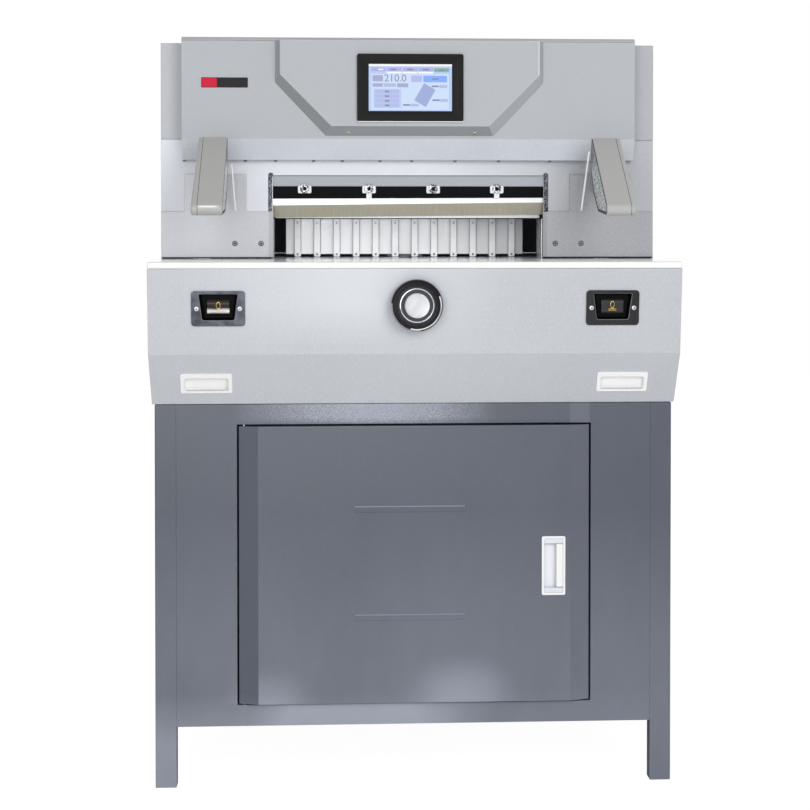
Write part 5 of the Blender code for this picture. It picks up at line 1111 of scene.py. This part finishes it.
def make_console():
    """The console, the touch panel and its display with a plain page."""
    console = dye(soften("console", 0.0030, 3, over(0.01), 15), "head_paint")
    # painted light and shade: walls shaded on the left and below, lit on the right, painted highlights
    # along the crease and right ridge
    stain(console, "inner_paint", lambda c, n: -0.80 < n.y < 0.3 and n.x < 0.2)
    stain(console, "wall_light", lambda c, n: -0.80 < n.y < 0.3 and n.x > 0.2)
    stain(console, "wall_dark", lambda c, n: -0.80 < n.y < 0.3 and n.z < -0.3 and n.x < 0.2)
    stain(console, "crease_paint", lambda c, n: -0.97 < n.y < -0.80 and c.z < 1.368)
    stain(console, "ridge_gleam",
          lambda c, n: -0.985 < n.y < -0.82 and n.x > 0.1 and n.z < 0.1 and c.z < 1.368)
    fit(console, "control_console", "frame", "grey_paint", None, "console")
    screws = repeat(socket_screw(0.0042, 0.0018, "brass_screw"),
                    [at(x, 0.2442, 1.1896) for x in (-0.1166, 0.1240)], (0.80, 0, 0))
    fit(screws, "console_screws", "frame", "brass")

    low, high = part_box("panel_bezel")
    glass_low, glass_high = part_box("touch_screen")
    width, height = glass_high.x - glass_low.x, glass_high.z - glass_low.z
    middle = (low + high) / 2
    ahead = lambda c, n: n.y < -0.9 and abs(c.x - middle.x) < 0.004 and abs(c.z - middle.z) < 0.004
    rim = plate(low, high, 0.0035, 0.0012)
    step(rim, ahead, width + 0.0180, height + 0.0150)
    step(rim, ahead, width + 0.0006, height + 0.0006, glass_low.y - low.y + 0.0004)
    # the inner bevel on the right takes a painted sheen
    stain(dye(smooth(rim, 12), "bezel_black"), "bezel_sheen",
          lambda c, n: n.x < -0.25 and glass_high.x < c.x < glass_high.x + 0.010)
    # a white strip along the panel's lower edge, glowing faintly as a painted highlight
    line = pebble((low.x + 0.002, low.y + 0.0008, low.z - 0.0011),
                  (high.x - 0.001, low.y + 0.0024, low.z + 0.0002), 0.0003, "acrylic_edge", 1)
    fit(join(rim, line), "touch_panel", "frame", "black_plastic", None, "panel_bezel")

    def tile(finish, u0, v0, u1, v1, layer, turn=0.0):
        """A lit patch: u runs right and v down over the display, both from 0 to 1."""
        x0, x1 = (glass_low.x + u * width for u in (u0, u1))
        z1, z0 = (glass_high.z - v * height for v in (v0, v1))
        half_x, half_z = (x1 - x0) / 2, (z1 - z0) / 2
        patch = plate((-half_x, -0.00004 * layer, -half_z), (half_x, 0.00002, half_z),
                      min(0.0008, half_z * 0.4), 0.00001, 2)
        place(dye(patch, finish), ((x0 + x1) / 2, glass_low.y - 0.0001, (z0 + z1) / 2), (0, turn, 0))
        tiles.append(patch)

    pane = plate((glass_low.x, glass_low.y - 0.0001, glass_low.z), glass_high, 0.0004, 0.0001, 2)
    tiles = [dye(pane, "screen_pale")]
    for patch in PATCHES:
        tile(*patch)
    for i in range(4):
        left = 0.03 + 0.19 * i
        tile("screen_tab", left, 0.075, left + 0.175, 0.155, 2)
        if i < 3:
            tile("screen_white", left + 0.185, 0.160, left + 0.365, 0.20, 2)
        top = 0.545 + 0.098 * i
        tile("screen_lilac", 0.075, top, 0.365, top + 0.083, 3)
        tile("screen_ink", 0.195, top + 0.025, 0.245, top + 0.06, 4)
    for u, v in ((0.755, 0.455), (0.765, 0.75), (0.41, 0.855)):
        tile("screen_ink", u, v, u + 0.09, v + 0.035, 3)
        tile("screen_lilac", u + 0.095, v - 0.01, u + 0.19, v + 0.05, 3)
    for u, v, long in INK:
        tile("screen_ink", u, v, u + long, v + 0.03, 4)
    tile("screen_slate", 0.595, 0.448, 0.755, 0.872, 3, math.radians(30))
    take()
    bpy.ops.object.text_add(rotation=(TURN, 0, 0))
    text = bpy.context.object.data
    text.body, text.size, text.extrude = "210.0", 0.0192, 0.00004
    bpy.ops.object.convert(target="MESH")
    reading = settle()
    edit(reading)
    bpy.ops.mesh.remove_doubles(threshold=0.00001)
    leave()
    reading.data.materials.clear()
    place(dye(reading, "screen_ink"),
          (glass_low.x + 0.0290, glass_low.y - 0.00022, glass_high.z - 0.0328))
    fit(join(*tiles, reading), "touch_display", "frame", "display", None, "touch_screen")


def arm_part(name, side, capped):
    """The outer cap or the inner shell of an arm, with its window and its dark seams."""
    low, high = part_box("arm_" + name)
    outer, inner = (high.x, low.x) if side > 0 else (low.x, high.x)
    cap, window_frame, flare, shift = 0.0086, 0.0045, 0.0032, 0.0026
    seam = outer - side * cap
    part = copy_node("arm_" + name)
    edit(part)
    right = capped == (side > 0)
    bpy.ops.mesh.bisect(plane_co=(seam, 0, 0), plane_no=(1, 0, 0), use_fill=True, clear_inner=right,
                        clear_outer=not right)
    leave()
    end, wide = (outer, 0.0045) if capped else (inner, 0.0018)
    round_off(part, wide, 4, lambda m, r: abs(m.x - end) < 1e-5 and m.y < TABLE_FRONT + 0.22
              and abs(r.x) < 1e-5)
    round_off(part, 0.0004, 1, lambda m, r: abs(m.x - seam) < 1e-5 and abs(r.x) < 1e-5)
    window = set()
    if not capped:
        largest = max((face for face in part.data.polygons if face.normal.x * side < -0.9),
                      key=lambda face: face.area).center.copy()
        pick_faces(part, lambda c, n: (c - largest).length < 1e-5)
        bpy.ops.mesh.inset(thickness=window_frame)
        push(0.0006, (side, 0, 0))
        leave()
        window = {face.index for face in part.data.polygons if face.select}
    dark = {face.index for face in part.data.polygons
            if face.normal.x * side < -0.9 and abs(face.center.x - inner) < 0.0007
            or abs(face.center.x - seam) < 0.0003}
    if side < 0:
        if capped:
            pick_edges(part, lambda m, r: m.x < outer + 0.0048 and m.z < 1.062)
            bpy.ops.transform.translate(value=(-flare, 0, 0))
        edit(part)
        bpy.ops.transform.translate(value=(-shift, 0, 0))
        leave()
    dye(part, "arm_plastic", "black_satin", "ripple_lens")
    for face in part.data.polygons:
        face.material_index = 2 if face.index in window else int(face.index in dark)
    return smooth(part, 40)


def make_arms():
    """The light-curtain arms with their windows, and the clear shields."""
    for name, side in SIDES:
        parts = [arm_part(name, side, capped) for capped in (False, True)]
        fit(join(*parts), "curtain_arm_" + name, "frame", "beige_plastic", None, "arm_" + name)
        if side > 0:
            lens = smooth(lathe([(0.0006, -0.0012), (0.0014, -0.0009), (0.0018, 0.0),
                                 (0.0018, 0.001)], 16), 60)
            place(lens, at(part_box("arm_right")[0].x + 0.0004, 0.1225, 1.0867), (0, 0, -TURN))
            fit(lens, "status_lamp", "frame", "clear_plastic", "status_green")
        shield = soften("shield_" + name, 0.0013)
        if side < 0:
            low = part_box("shield_left")[0]
            edit(shield)
            bpy.ops.transform.rotate(value=math.radians(2.4), orient_axis="Y",
                                     center_override=(low.x, low.y, low.z + 0.03))
            leave()
        # the shields' edges take the faintly glowing finish: painted light
        stain(dye(shield, "acrylic"), "sheet_edge", lambda c, n: abs(n.x) < 0.9 and n.y < -0.3)
        fit(shield, "clear_shield_" + name, "frame", "clear_plastic", None, "shield_" + name)


def make_knife():
    """The knife bar with its dark foot, its block screws, the blade and the rods."""
    bar = soften("knife_bar", 0.0005, 1, over(0.02))
    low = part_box("knife_bar")[0]
    front, lip, slant = low.y, 1.0897, 0.0036
    pick_edges(bar, lambda m, r: m.z < low.z + 0.0008 and m.x > 0.28)
    bpy.ops.transform.translate(value=(0, 0, slant))
    leave()
    # the bar's foot below its lip is black, partly a painted shade of the gap above the blade
    stain(dye(bar, "knife_bar_paint"), "cast_black", lambda c, n: c.z < lip - 0.001 or n.y > -0.5)
    fit(bar, "knife_carrier", "knife", "dark_steel", None, "knife_bar")
    blade = dye(soften("blade", 0.0002, 1, over(0.05)), "blade_steel")
    stain(blade, "blade_bevel", lambda c, n: n.y < -0.2 and n.z < -0.1)
    fit(blade, "cutting_blade", "knife", "steel", None, "blade")
    for index, x in enumerate((-0.2005, -0.0765, 0.0475, 0.1710)):
        nut = smooth(plate((x - 0.0130, front - 0.0030, 1.0758), (x + 0.0130, front + 0.0017, 1.0905),
                           0.0026, 0.0007))
        head = place(socket_screw(0.0090, 0.0024, "nut_noise", "seam_dark"),
                     (x, front - 0.0028, 1.0846))
        parts = [dye(nut, "white_plastic"), head]
        if index % 2:
            parts.append(pebble((x - 0.0052, front - 0.0014, 1.0660),
                                (x + 0.0052, front + 0.0017, 1.0790), 0.0008, "white_plastic"))
        fit(join(*parts), "blade_nut_%d" % (index + 1), "knife", "white_plastic")
    coat("rod_steel", "knife_rod_left", "knife_rod_right")


def make_clamp():
    """The clamp with its ground sole, its screw and its gear motor."""
    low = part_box("clamp")[0]
    clamp = dye(soften("clamp", 0.0008, 2, over(0.03)), "cast_black")
    stain(clamp, "screw_steel", lambda c, n: c.z < low.z + 0.0009)
    sole = pebble((-0.2565, low.y - 0.0006, low.z + 0.0002), (0.2565, low.y + 0.0010, low.z + 0.0080),
                  0.0004, "gauge_metal")
    fit(join(clamp, sole), "clamp", "clamp", "dark_steel", None, "clamp")
    coat("rod_steel", "clamp_screw")
    fit(soften("clamp_motor", 0.002, 2, over(0.03)), "clamp_gear_motor", "frame", "dark_paint",
        "motor_paint", "clamp_motor")


def make_gauge():
    """The back gauge with its fingers and feet, its carriage and the rods."""
    low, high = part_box("back_gauge")
    gauge = dye(soften("back_gauge", 0.0006, 1, lambda m, r: abs(r.z) > 0.03), "gauge_metal")
    stain(gauge, "finger_plastic",
          lambda c, n: c.y < low.y + 0.0086 and not (n.y < -0.9 and c.y > low.y + 0.004))
    fit(gauge, "gauge_plate", "gauge", "pale_paint", None, "back_gauge")
    pitch, count = 0.0393, 12
    places = [((index - (count - 1) / 2) * pitch, low.y, 0) for index in range(count)]
    foot = pebble((-0.0068, -0.0014, TABLE_TOP + 0.0004), (0.0068, 0.0075, 0.9600), 0.0028,
                  "finger_plastic", 3)
    pin = dye(lathe([(0.0004, -0.0007), (0.0022, -0.0007), (0.0024, 0.0)], 14), "dark_screw")
    place(smooth(pin), (0, -0.0014, 0.9555))
    fit(repeat(join(foot, pin), places), "finger_feet", "gauge", "white_plastic")
    mark = [pebble((-0.0063, -0.0003, 0.9908), (0.0063, 0.0006, 0.9916), 0.0002, "trough_plastic", 1),
            pebble((-0.0030, -0.0005, 1.0155), (0.0030, 0.0006, 1.0215), 0.0004, "trough_plastic", 1),
            pebble((-0.0012, -0.0007, 1.0175), (0.0012, 0.0000, 1.0198), 0.0002, "dark_screw", 1)]
    mark += [pebble((x - 0.0004, -0.0003, 0.9610), (x + 0.0004, 0.0006, high.z - 0.0012), 0.0001,
                    "border_mauve", 1) for x in (-0.0069, 0.0069)]
    fit(repeat(join(*mark), places), "finger_marks", "gauge", "white_plastic")
    fit(soften("gauge_carriage", 0.0010, 2, over(0.02)), "gauge_slide_block", "gauge", "dark_steel",
        "cast_grey", "gauge_carriage")
    coat("rod_steel", "gauge_rod_left", "gauge_rod_right", "lead_screw")
    coat("cast_grey", "screw_bearing_front", "screw_bearing_rear", "gauge_motor")


def make_handwheel():
    """The knurled handwheel with its chrome ring and its turned cap."""
    low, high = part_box("handwheel")
    cap_low, cap_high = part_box("handwheel_cap")
    middle, teeth, dish, dish_radius = (low + high) / 2, 160, 0.006, 0.0335
    radius, deep = (high.x - low.x) / 2, high.y - low.y
    wheel = lathe([(0.0200, dish), (dish_radius, dish), (0.0348, 0.0010), (0.0355, 0.0002),
                   (0.0370, 0.0003), (radius - 0.0036, 0.0003), (radius - 0.0014, 0.0014),
                   (radius, 0.0034), (radius, deep - 0.0025), (radius - 0.0025, deep)], teeth)
    tooth = lambda c: round(math.atan2(c.z, c.x) * teeth / math.tau - 0.5) % 2 == 0
    pick_faces(wheel, lambda c, n: c.xz.length > radius - 0.0012 and abs(n.y) < 0.95 and tooth(c))
    bpy.ops.mesh.inset(thickness=0.00012, depth=-sizes().knurl_depth, use_boundary=True)
    leave()
    dye(smooth(wheel, 30), "wheel_black")
    stain(wheel, "rim_chrome", lambda c, n: 0.0348 < c.xz.length < 0.0354 and n.y < -0.3)
    # painted reflection: a bright crescent on the rim's lower right, and painted glints on the knurls
    # at the lower left
    stain(wheel, "crescent",
          lambda c, n: radius - 0.0034 < c.xz.length < radius - 0.0016 and n.y < -0.3
          and c.x > -0.25 * radius and c.z < 0.35 * radius and c.x - c.z > 0.4 * radius)
    stain(wheel, "crescent", lambda c, n: c.xz.length > radius - 0.0016 and n.y < -0.1 and tooth(c)
          and c.x < 0.1 * radius and c.z < 0.1 * radius)
    stain(wheel, "dish_grey", lambda c, n: c.xz.length < dish_radius + 0.0001 and n.y < -0.5)
    torus(0.0296, 0.0021, 96, 12, dish)
    ring = dye(smooth(settle(), 60), "ring_chrome")
    fit(place(join(wheel, ring), (middle.x, low.y, middle.z)), "handwheel_rim", "spindle",
        "black_plastic", None, "handwheel")
    radius, deep = (cap_high.x - cap_low.x) / 2, cap_high.y - cap_low.y
    cap = lathe([(0.0008, 0.0007), (0.0100, 0.0007), (radius - 0.0016, 0.0006), (radius - 0.0010, 0.0),
                 (radius - 0.0003, 0.0004), (radius, 0.0014), (radius, deep)], 96)
    fit(place(smooth(cap, 50), (middle.x, cap_low.y, middle.z)), "handwheel_button", "spindle",
        "aluminium", "cap_aluminium", "handwheel_cap")


def make_drive():
    """The knife's gearbox, its finned motor and the rocker shaft."""
    fit(soften("knife_gearbox", 0.003, 3, over(0.03)), "worm_gearbox", "frame", "dark_steel",
        "cast_grey", "knife_gearbox")
    low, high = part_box("knife_gearbox")
    spots = [(x, low.y, z) for x in (low.x + 0.014, high.x - 0.014)
             for z in (low.z + 0.016, high.z - 0.014)]
    fit(repeat(socket_screw(0.0055, 0.0045, "screw_steel", "seam_dark"), spots), "gearbox_bolts",
        "frame", "steel")
    low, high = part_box("knife_motor")
    radius, length = (high.x - low.x) / 2, high.y - low.y
    core, first, pitch = radius * 0.94, 0.018, 0.0074
    rings = [(radius * 0.80, 0.0), (radius * 0.80, 0.012), (core, 0.014)]
    for fin in range(20):
        start = first + fin * pitch
        rings += [(core, start), (radius, start + 0.0008), (radius, start + 0.0030),
                  (core, start + 0.0038)]
    rings += [(core, 0.170), (radius, 0.172), (radius, length - 0.006), (radius * 0.93, length)]
    middle = (low + high) / 2
    fit(place(smooth(lathe(rings, 48), 30), (middle.x, low.y, middle.z)), "finned_motor", "frame",
        "dark_paint", "motor_paint", "knife_motor")
    coat("rod_steel", "rocker_shaft")


def make_fittings():
    """The control box with its lid and glands, and the mains inlet."""
    fit(soften("control_box", 0.002, 3), "electrics_box", "frame", "pale_paint", "face_paint",
        "control_box")
    low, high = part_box("control_box")
    lid = plate((low.x + 0.012, low.y - 0.0022, low.z + 0.012),
                (high.x - 0.012, low.y + 0.0004, high.z - 0.012), 0.004, 0.0010)
    fit(smooth(lid), "electrics_lid", "frame", "pale_paint", "guard_paint")
    spots = [(x, low.y - 0.0021, z) for x in (low.x + 0.024, high.x - 0.024)
             for z in (low.z + 0.024, high.z - 0.024)]
    fit(repeat(socket_screw(0.0045, 0.0024), spots), "lid_screws", "frame", "steel")
    gland = lathe([(0.0042, -0.016), (0.0085, -0.016), (0.0098, -0.0135), (0.0098, -0.006),
                   (0.0115, -0.006), (0.0115, 0.0)], 20)
    spots = [(low.x + 0.06 + 0.045 * i, (low.y + high.y) / 2, low.z) for i in range(4)]
    fit(repeat(dye(smooth(gland, 40), "black_satin"), spots, (TURN, 0, 0)), "cable_glands", "frame",
        "black_plastic")
    fit(soften("power_inlet", 0.0010, 2, over(0.008)), "mains_inlet", "frame", "black_plastic",
        "black_satin", "power_inlet")
    low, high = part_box("power_inlet")
    middle = (low + high) / 2
    pins = [pebble((middle.x + x - 0.001, high.y - 0.0138, middle.z + z - 0.002),
                   (middle.x + x + 0.001, high.y - 0.003, middle.z + z + 0.002), 0.0004, "screw_steel")
            for x, z in ((-0.007, -0.001), (0.0, 0.003), (0.007, -0.001))]
    fit(join(*pins), "inlet_pins", "frame", "brass")


def lamp(name, where, aim, width, height, power):
    """A soft rectangular lamp that points at a place."""
    data = bpy.data.lights.new(name, "AREA")
    data.shape, data.size, data.size_y, data.energy = "RECTANGLE", width, height, power
    obj = bpy.data.objects.new(name, data)
    bpy.context.scene.collection.objects.link(obj)
    obj.location = where
    obj.rotation_euler = (Vector(aim) - Vector(where)).to_track_quat("-Z", "Y").to_euler()
    return obj


def show_white(tree, base, white, output, rays, share):
    """Mixes a plain white into a shader, for the rays that show the background."""
    def maths(operation, first, second):
        node = tree.nodes.new("ShaderNodeMath")
        node.operation = operation
        tree.links.new(first, node.inputs[0])
        if isinstance(second, float):
            node.inputs[1].default_value = second
        else:
            tree.links.new(second, node.inputs[1])
        return node.outputs[0]

    path = tree.nodes.new("ShaderNodeLightPath")
    seen = path.outputs["Is Camera Ray"]
    for ray in rays:
        seen = maths("MAXIMUM", seen, path.outputs[ray])
    blend = tree.nodes.new("ShaderNodeMixShader")
    sources = maths("MULTIPLY", seen, share), base.outputs[0], white.outputs[0]
    for socket, source in enumerate(sources):
        tree.links.new(source, blend.inputs[socket])
    tree.links.new(blend.outputs[0], tree.nodes[output].inputs["Surface"])


def make_stage():
    """The white floor and surround, the soft lamps and the camera."""
    scene = bpy.context.scene
    stage = scene.cutter_stage
    take()
    bpy.ops.mesh.primitive_grid_add(x_subdivisions=2, y_subdivisions=2, size=16)
    floor = settle()
    floor.name = floor.data.name = "floor"
    material = bpy.data.materials.new("floor_white")
    material.use_nodes = True
    surface = material.node_tree.nodes["Principled BSDF"]
    surface.inputs["Base Color"].default_value = (0.95, 0.95, 0.95, 1.0)
    surface.inputs["Roughness"].default_value = 0.6
    light = material.node_tree.nodes.new("ShaderNodeEmission")
    light.inputs["Strength"].default_value = 1.12
    show_white(material.node_tree, surface, light, "Material Output", ("Is Transmission Ray",), 0.86)
    floor.data.materials.append(material)

    world = bpy.data.worlds.new("soft_surround")
    world.use_nodes = True
    scene.world = world
    even = world.node_tree.nodes["Background"]
    even.inputs["Color"].default_value = (0.97, 0.98, 1.0, 1.0)
    even.inputs["Strength"].default_value = stage.surround
    white = world.node_tree.nodes.new("ShaderNodeBackground")
    white.inputs["Color"].default_value = (*WHITE, 1.0)
    show_white(world.node_tree, even, white, "World Output",
               ("Is Transmission Ray", "Is Glossy Ray"), 1.0)

    key = lamp("key_lamp", (1.15, -3.0, 1.7), (0, 0, 0.9), 1.6, 1.6, stage.key)
    key.visible_glossy = False
    lamp("fill_lamp", (-1.0, -3.2, 1.4), (0, 0, 0.9), 1.4, 1.7, stage.fill)
    lamp("throat_lamp", at(-0.06, 0.335, 1.022), at(-0.04, 0.65, 0.955), 0.36, 0.012, stage.throat)
    sheen = lamp("sheen_lamp", (0.0, -2.6, 0.46), (0, -0.4, 0.66), 1.2, 0.20, stage.sheen)
    pool = lamp("pool_lamp", (-0.1, -1.35, 0.02), (0, -0.4, 0.16), 1.3, 0.16, stage.sheen / 5)
    sheen.visible_diffuse = pool.visible_diffuse = False

    data = bpy.data.cameras.new("photo_camera")
    data.sensor_width, data.lens = 36.0, stage.lens
    data.shift_x, data.shift_y = stage.shift_x, stage.shift_y
    camera = bpy.data.objects.new("photo_camera", data)
    scene.collection.objects.link(camera)
    camera.location = stage.camera_place
    camera.rotation_euler = (TURN - stage.camera_dip, 0, -stage.camera_turn)
    scene.camera = camera
    scene.view_settings.view_transform = "Standard"


# Operators and panel

class CUTTER_OT_stage(bpy.types.Operator):
    """Sets up the white floor and surround, the soft lamps and the camera"""

    bl_idname = "cutter.stage"
    bl_label = "Stage"

    def execute(self, context):
        make_stage()
        return {"FINISHED"}


class CUTTER_OT_cabinet(bpy.types.Operator):
    """Builds the cabinet's sides, front frame, back and floor"""

    bl_idname = "cutter.cabinet"
    bl_label = "Cabinet"

    def execute(self, context):
        make_cabinet()
        return {"FINISHED"}


class CUTTER_OT_door(bpy.types.Operator):
    """Builds the bowed door with its slots, its pins and the flush pull"""

    bl_idname = "cutter.door"
    bl_label = "Door"

    def execute(self, context):
        make_door()
        return {"FINISHED"}


class CUTTER_OT_table(bpy.types.Operator):
    """Builds the ground table with its trim, the cutting stick and the side lays"""

    bl_idname = "cutter.table"
    bl_label = "Table"

    def execute(self, context):
        make_table()
        return {"FINISHED"}


class CUTTER_OT_apron(bpy.types.Operator):
    """Builds the folded front cover"""

    bl_idname = "cutter.apron"
    bl_label = "Front Cover"

    def execute(self, context):
        make_apron()
        return {"FINISHED"}


class CUTTER_OT_buttons(bpy.types.Operator):
    """Builds the two cut buttons in their black bezels"""

    bl_idname = "cutter.buttons"
    bl_label = "Cut Buttons"

    def execute(self, context):
        make_buttons()
        return {"FINISHED"}


class CUTTER_OT_pulls(bpy.types.Operator):
    """Builds the two white flush pulls in the slanted panel"""

    bl_idname = "cutter.pulls"
    bl_label = "Flush Pulls"

    def execute(self, context):
        make_pulls()
        return {"FINISHED"}


class CUTTER_OT_face(bpy.types.Operator):
    """Builds the face plate, the guards with folded inner edges and the side castings"""

    bl_idname = "cutter.face"
    bl_label = "Face and Guards"

    def execute(self, context):
        make_face()
        return {"FINISHED"}


class CUTTER_OT_head(bpy.types.Operator):
    """Builds the head's covers, their screws and the blank badge"""

    bl_idname = "cutter.head"
    bl_label = "Head"

    def execute(self, context):
        make_head()
        return {"FINISHED"}


class CUTTER_OT_console(bpy.types.Operator):
    """Builds the console, the touch panel and its display with a plain page"""

    bl_idname = "cutter.console"
    bl_label = "Console"

    def execute(self, context):
        make_console()
        return {"FINISHED"}


class CUTTER_OT_arms(bpy.types.Operator):
    """Builds the light-curtain arms with their windows, and the clear shields"""

    bl_idname = "cutter.arms"
    bl_label = "Light-Curtain Arms"

    def execute(self, context):
        make_arms()
        return {"FINISHED"}


class CUTTER_OT_knife(bpy.types.Operator):
    """Builds the knife bar with its dark foot, its block screws, the blade and the rods"""

    bl_idname = "cutter.knife"
    bl_label = "Knife"

    def execute(self, context):
        make_knife()
        return {"FINISHED"}


class CUTTER_OT_clamp(bpy.types.Operator):
    """Builds the clamp with its ground sole, its screw and its gear motor"""

    bl_idname = "cutter.clamp"
    bl_label = "Clamp"

    def execute(self, context):
        make_clamp()
        return {"FINISHED"}


class CUTTER_OT_gauge(bpy.types.Operator):
    """Builds the back gauge with its fingers and feet, its carriage and the rods"""

    bl_idname = "cutter.gauge"
    bl_label = "Back Gauge"

    def execute(self, context):
        make_gauge()
        return {"FINISHED"}


class CUTTER_OT_handwheel(bpy.types.Operator):
    """Builds the knurled handwheel with its chrome ring and its turned cap"""

    bl_idname = "cutter.handwheel"
    bl_label = "Handwheel"

    def execute(self, context):
        make_handwheel()
        return {"FINISHED"}


class CUTTER_OT_drive(bpy.types.Operator):
    """Builds the knife's gearbox, its finned motor and the rocker shaft"""

    bl_idname = "cutter.drive"
    bl_label = "Knife Drive"

    def execute(self, context):
        make_drive()
        return {"FINISHED"}


class CUTTER_OT_fittings(bpy.types.Operator):
    """Builds the control box with its lid and glands, and the mains inlet"""

    bl_idname = "cutter.fittings"
    bl_label = "Electrics"

    def execute(self, context):
        make_fittings()
        return {"FINISHED"}


OPERATORS = (CUTTER_OT_stage, CUTTER_OT_cabinet, CUTTER_OT_door, CUTTER_OT_table, CUTTER_OT_apron,
             CUTTER_OT_buttons, CUTTER_OT_pulls, CUTTER_OT_face, CUTTER_OT_head, CUTTER_OT_console,
             CUTTER_OT_arms, CUTTER_OT_knife, CUTTER_OT_clamp, CUTTER_OT_gauge,
             CUTTER_OT_handwheel, CUTTER_OT_drive, CUTTER_OT_fittings)
GROUPS = (("cutter_colours", CutterColours), ("cutter_sizes", CutterSizes),
          ("cutter_stage", CutterStage))


class CUTTER_PT_panel(bpy.types.Panel):
    """Lists the machine's pieces"""

    bl_idname = "CUTTER_PT_panel"
    bl_label = "Paper Cutter"
    bl_space_type = "VIEW_3D"
    bl_region_type = "UI"
    bl_category = "Paper Cutter"

    def draw(self, context):
        column = self.layout.column()
        for operator in OPERATORS:
            column.operator(operator.bl_idname)
        for name, group in GROUPS:
            box = self.layout.box()
            for key in group.__annotations__:
                box.prop(getattr(context.scene, name), key)


def register():
    """Registers the groups, the operators and the panel."""
    for name, group in GROUPS:
        bpy.utils.register_class(group)
        setattr(bpy.types.Scene, name, PointerProperty(type=group))
    for item in (*OPERATORS, CUTTER_PT_panel):
        bpy.utils.register_class(item)


def unregister():
    """Removes what register added."""
    for item in (CUTTER_PT_panel, *reversed(OPERATORS)):
        bpy.utils.unregister_class(item)
    for name, group in reversed(GROUPS):
        delattr(bpy.types.Scene, name)
        bpy.utils.unregister_class(group)


def main():
    """Registers the add-on, removes the starting cube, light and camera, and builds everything."""
    register()
    for scene_object in list(bpy.context.scene.objects):
        if scene_object.name in ("Cube", "Light", "Camera"):
            bpy.data.objects.remove(scene_object)
    for operator in OPERATORS:
        group, name = operator.bl_idname.split(".")
        getattr(getattr(bpy.ops, group), name)()


if __name__ == "__main__":
    main()
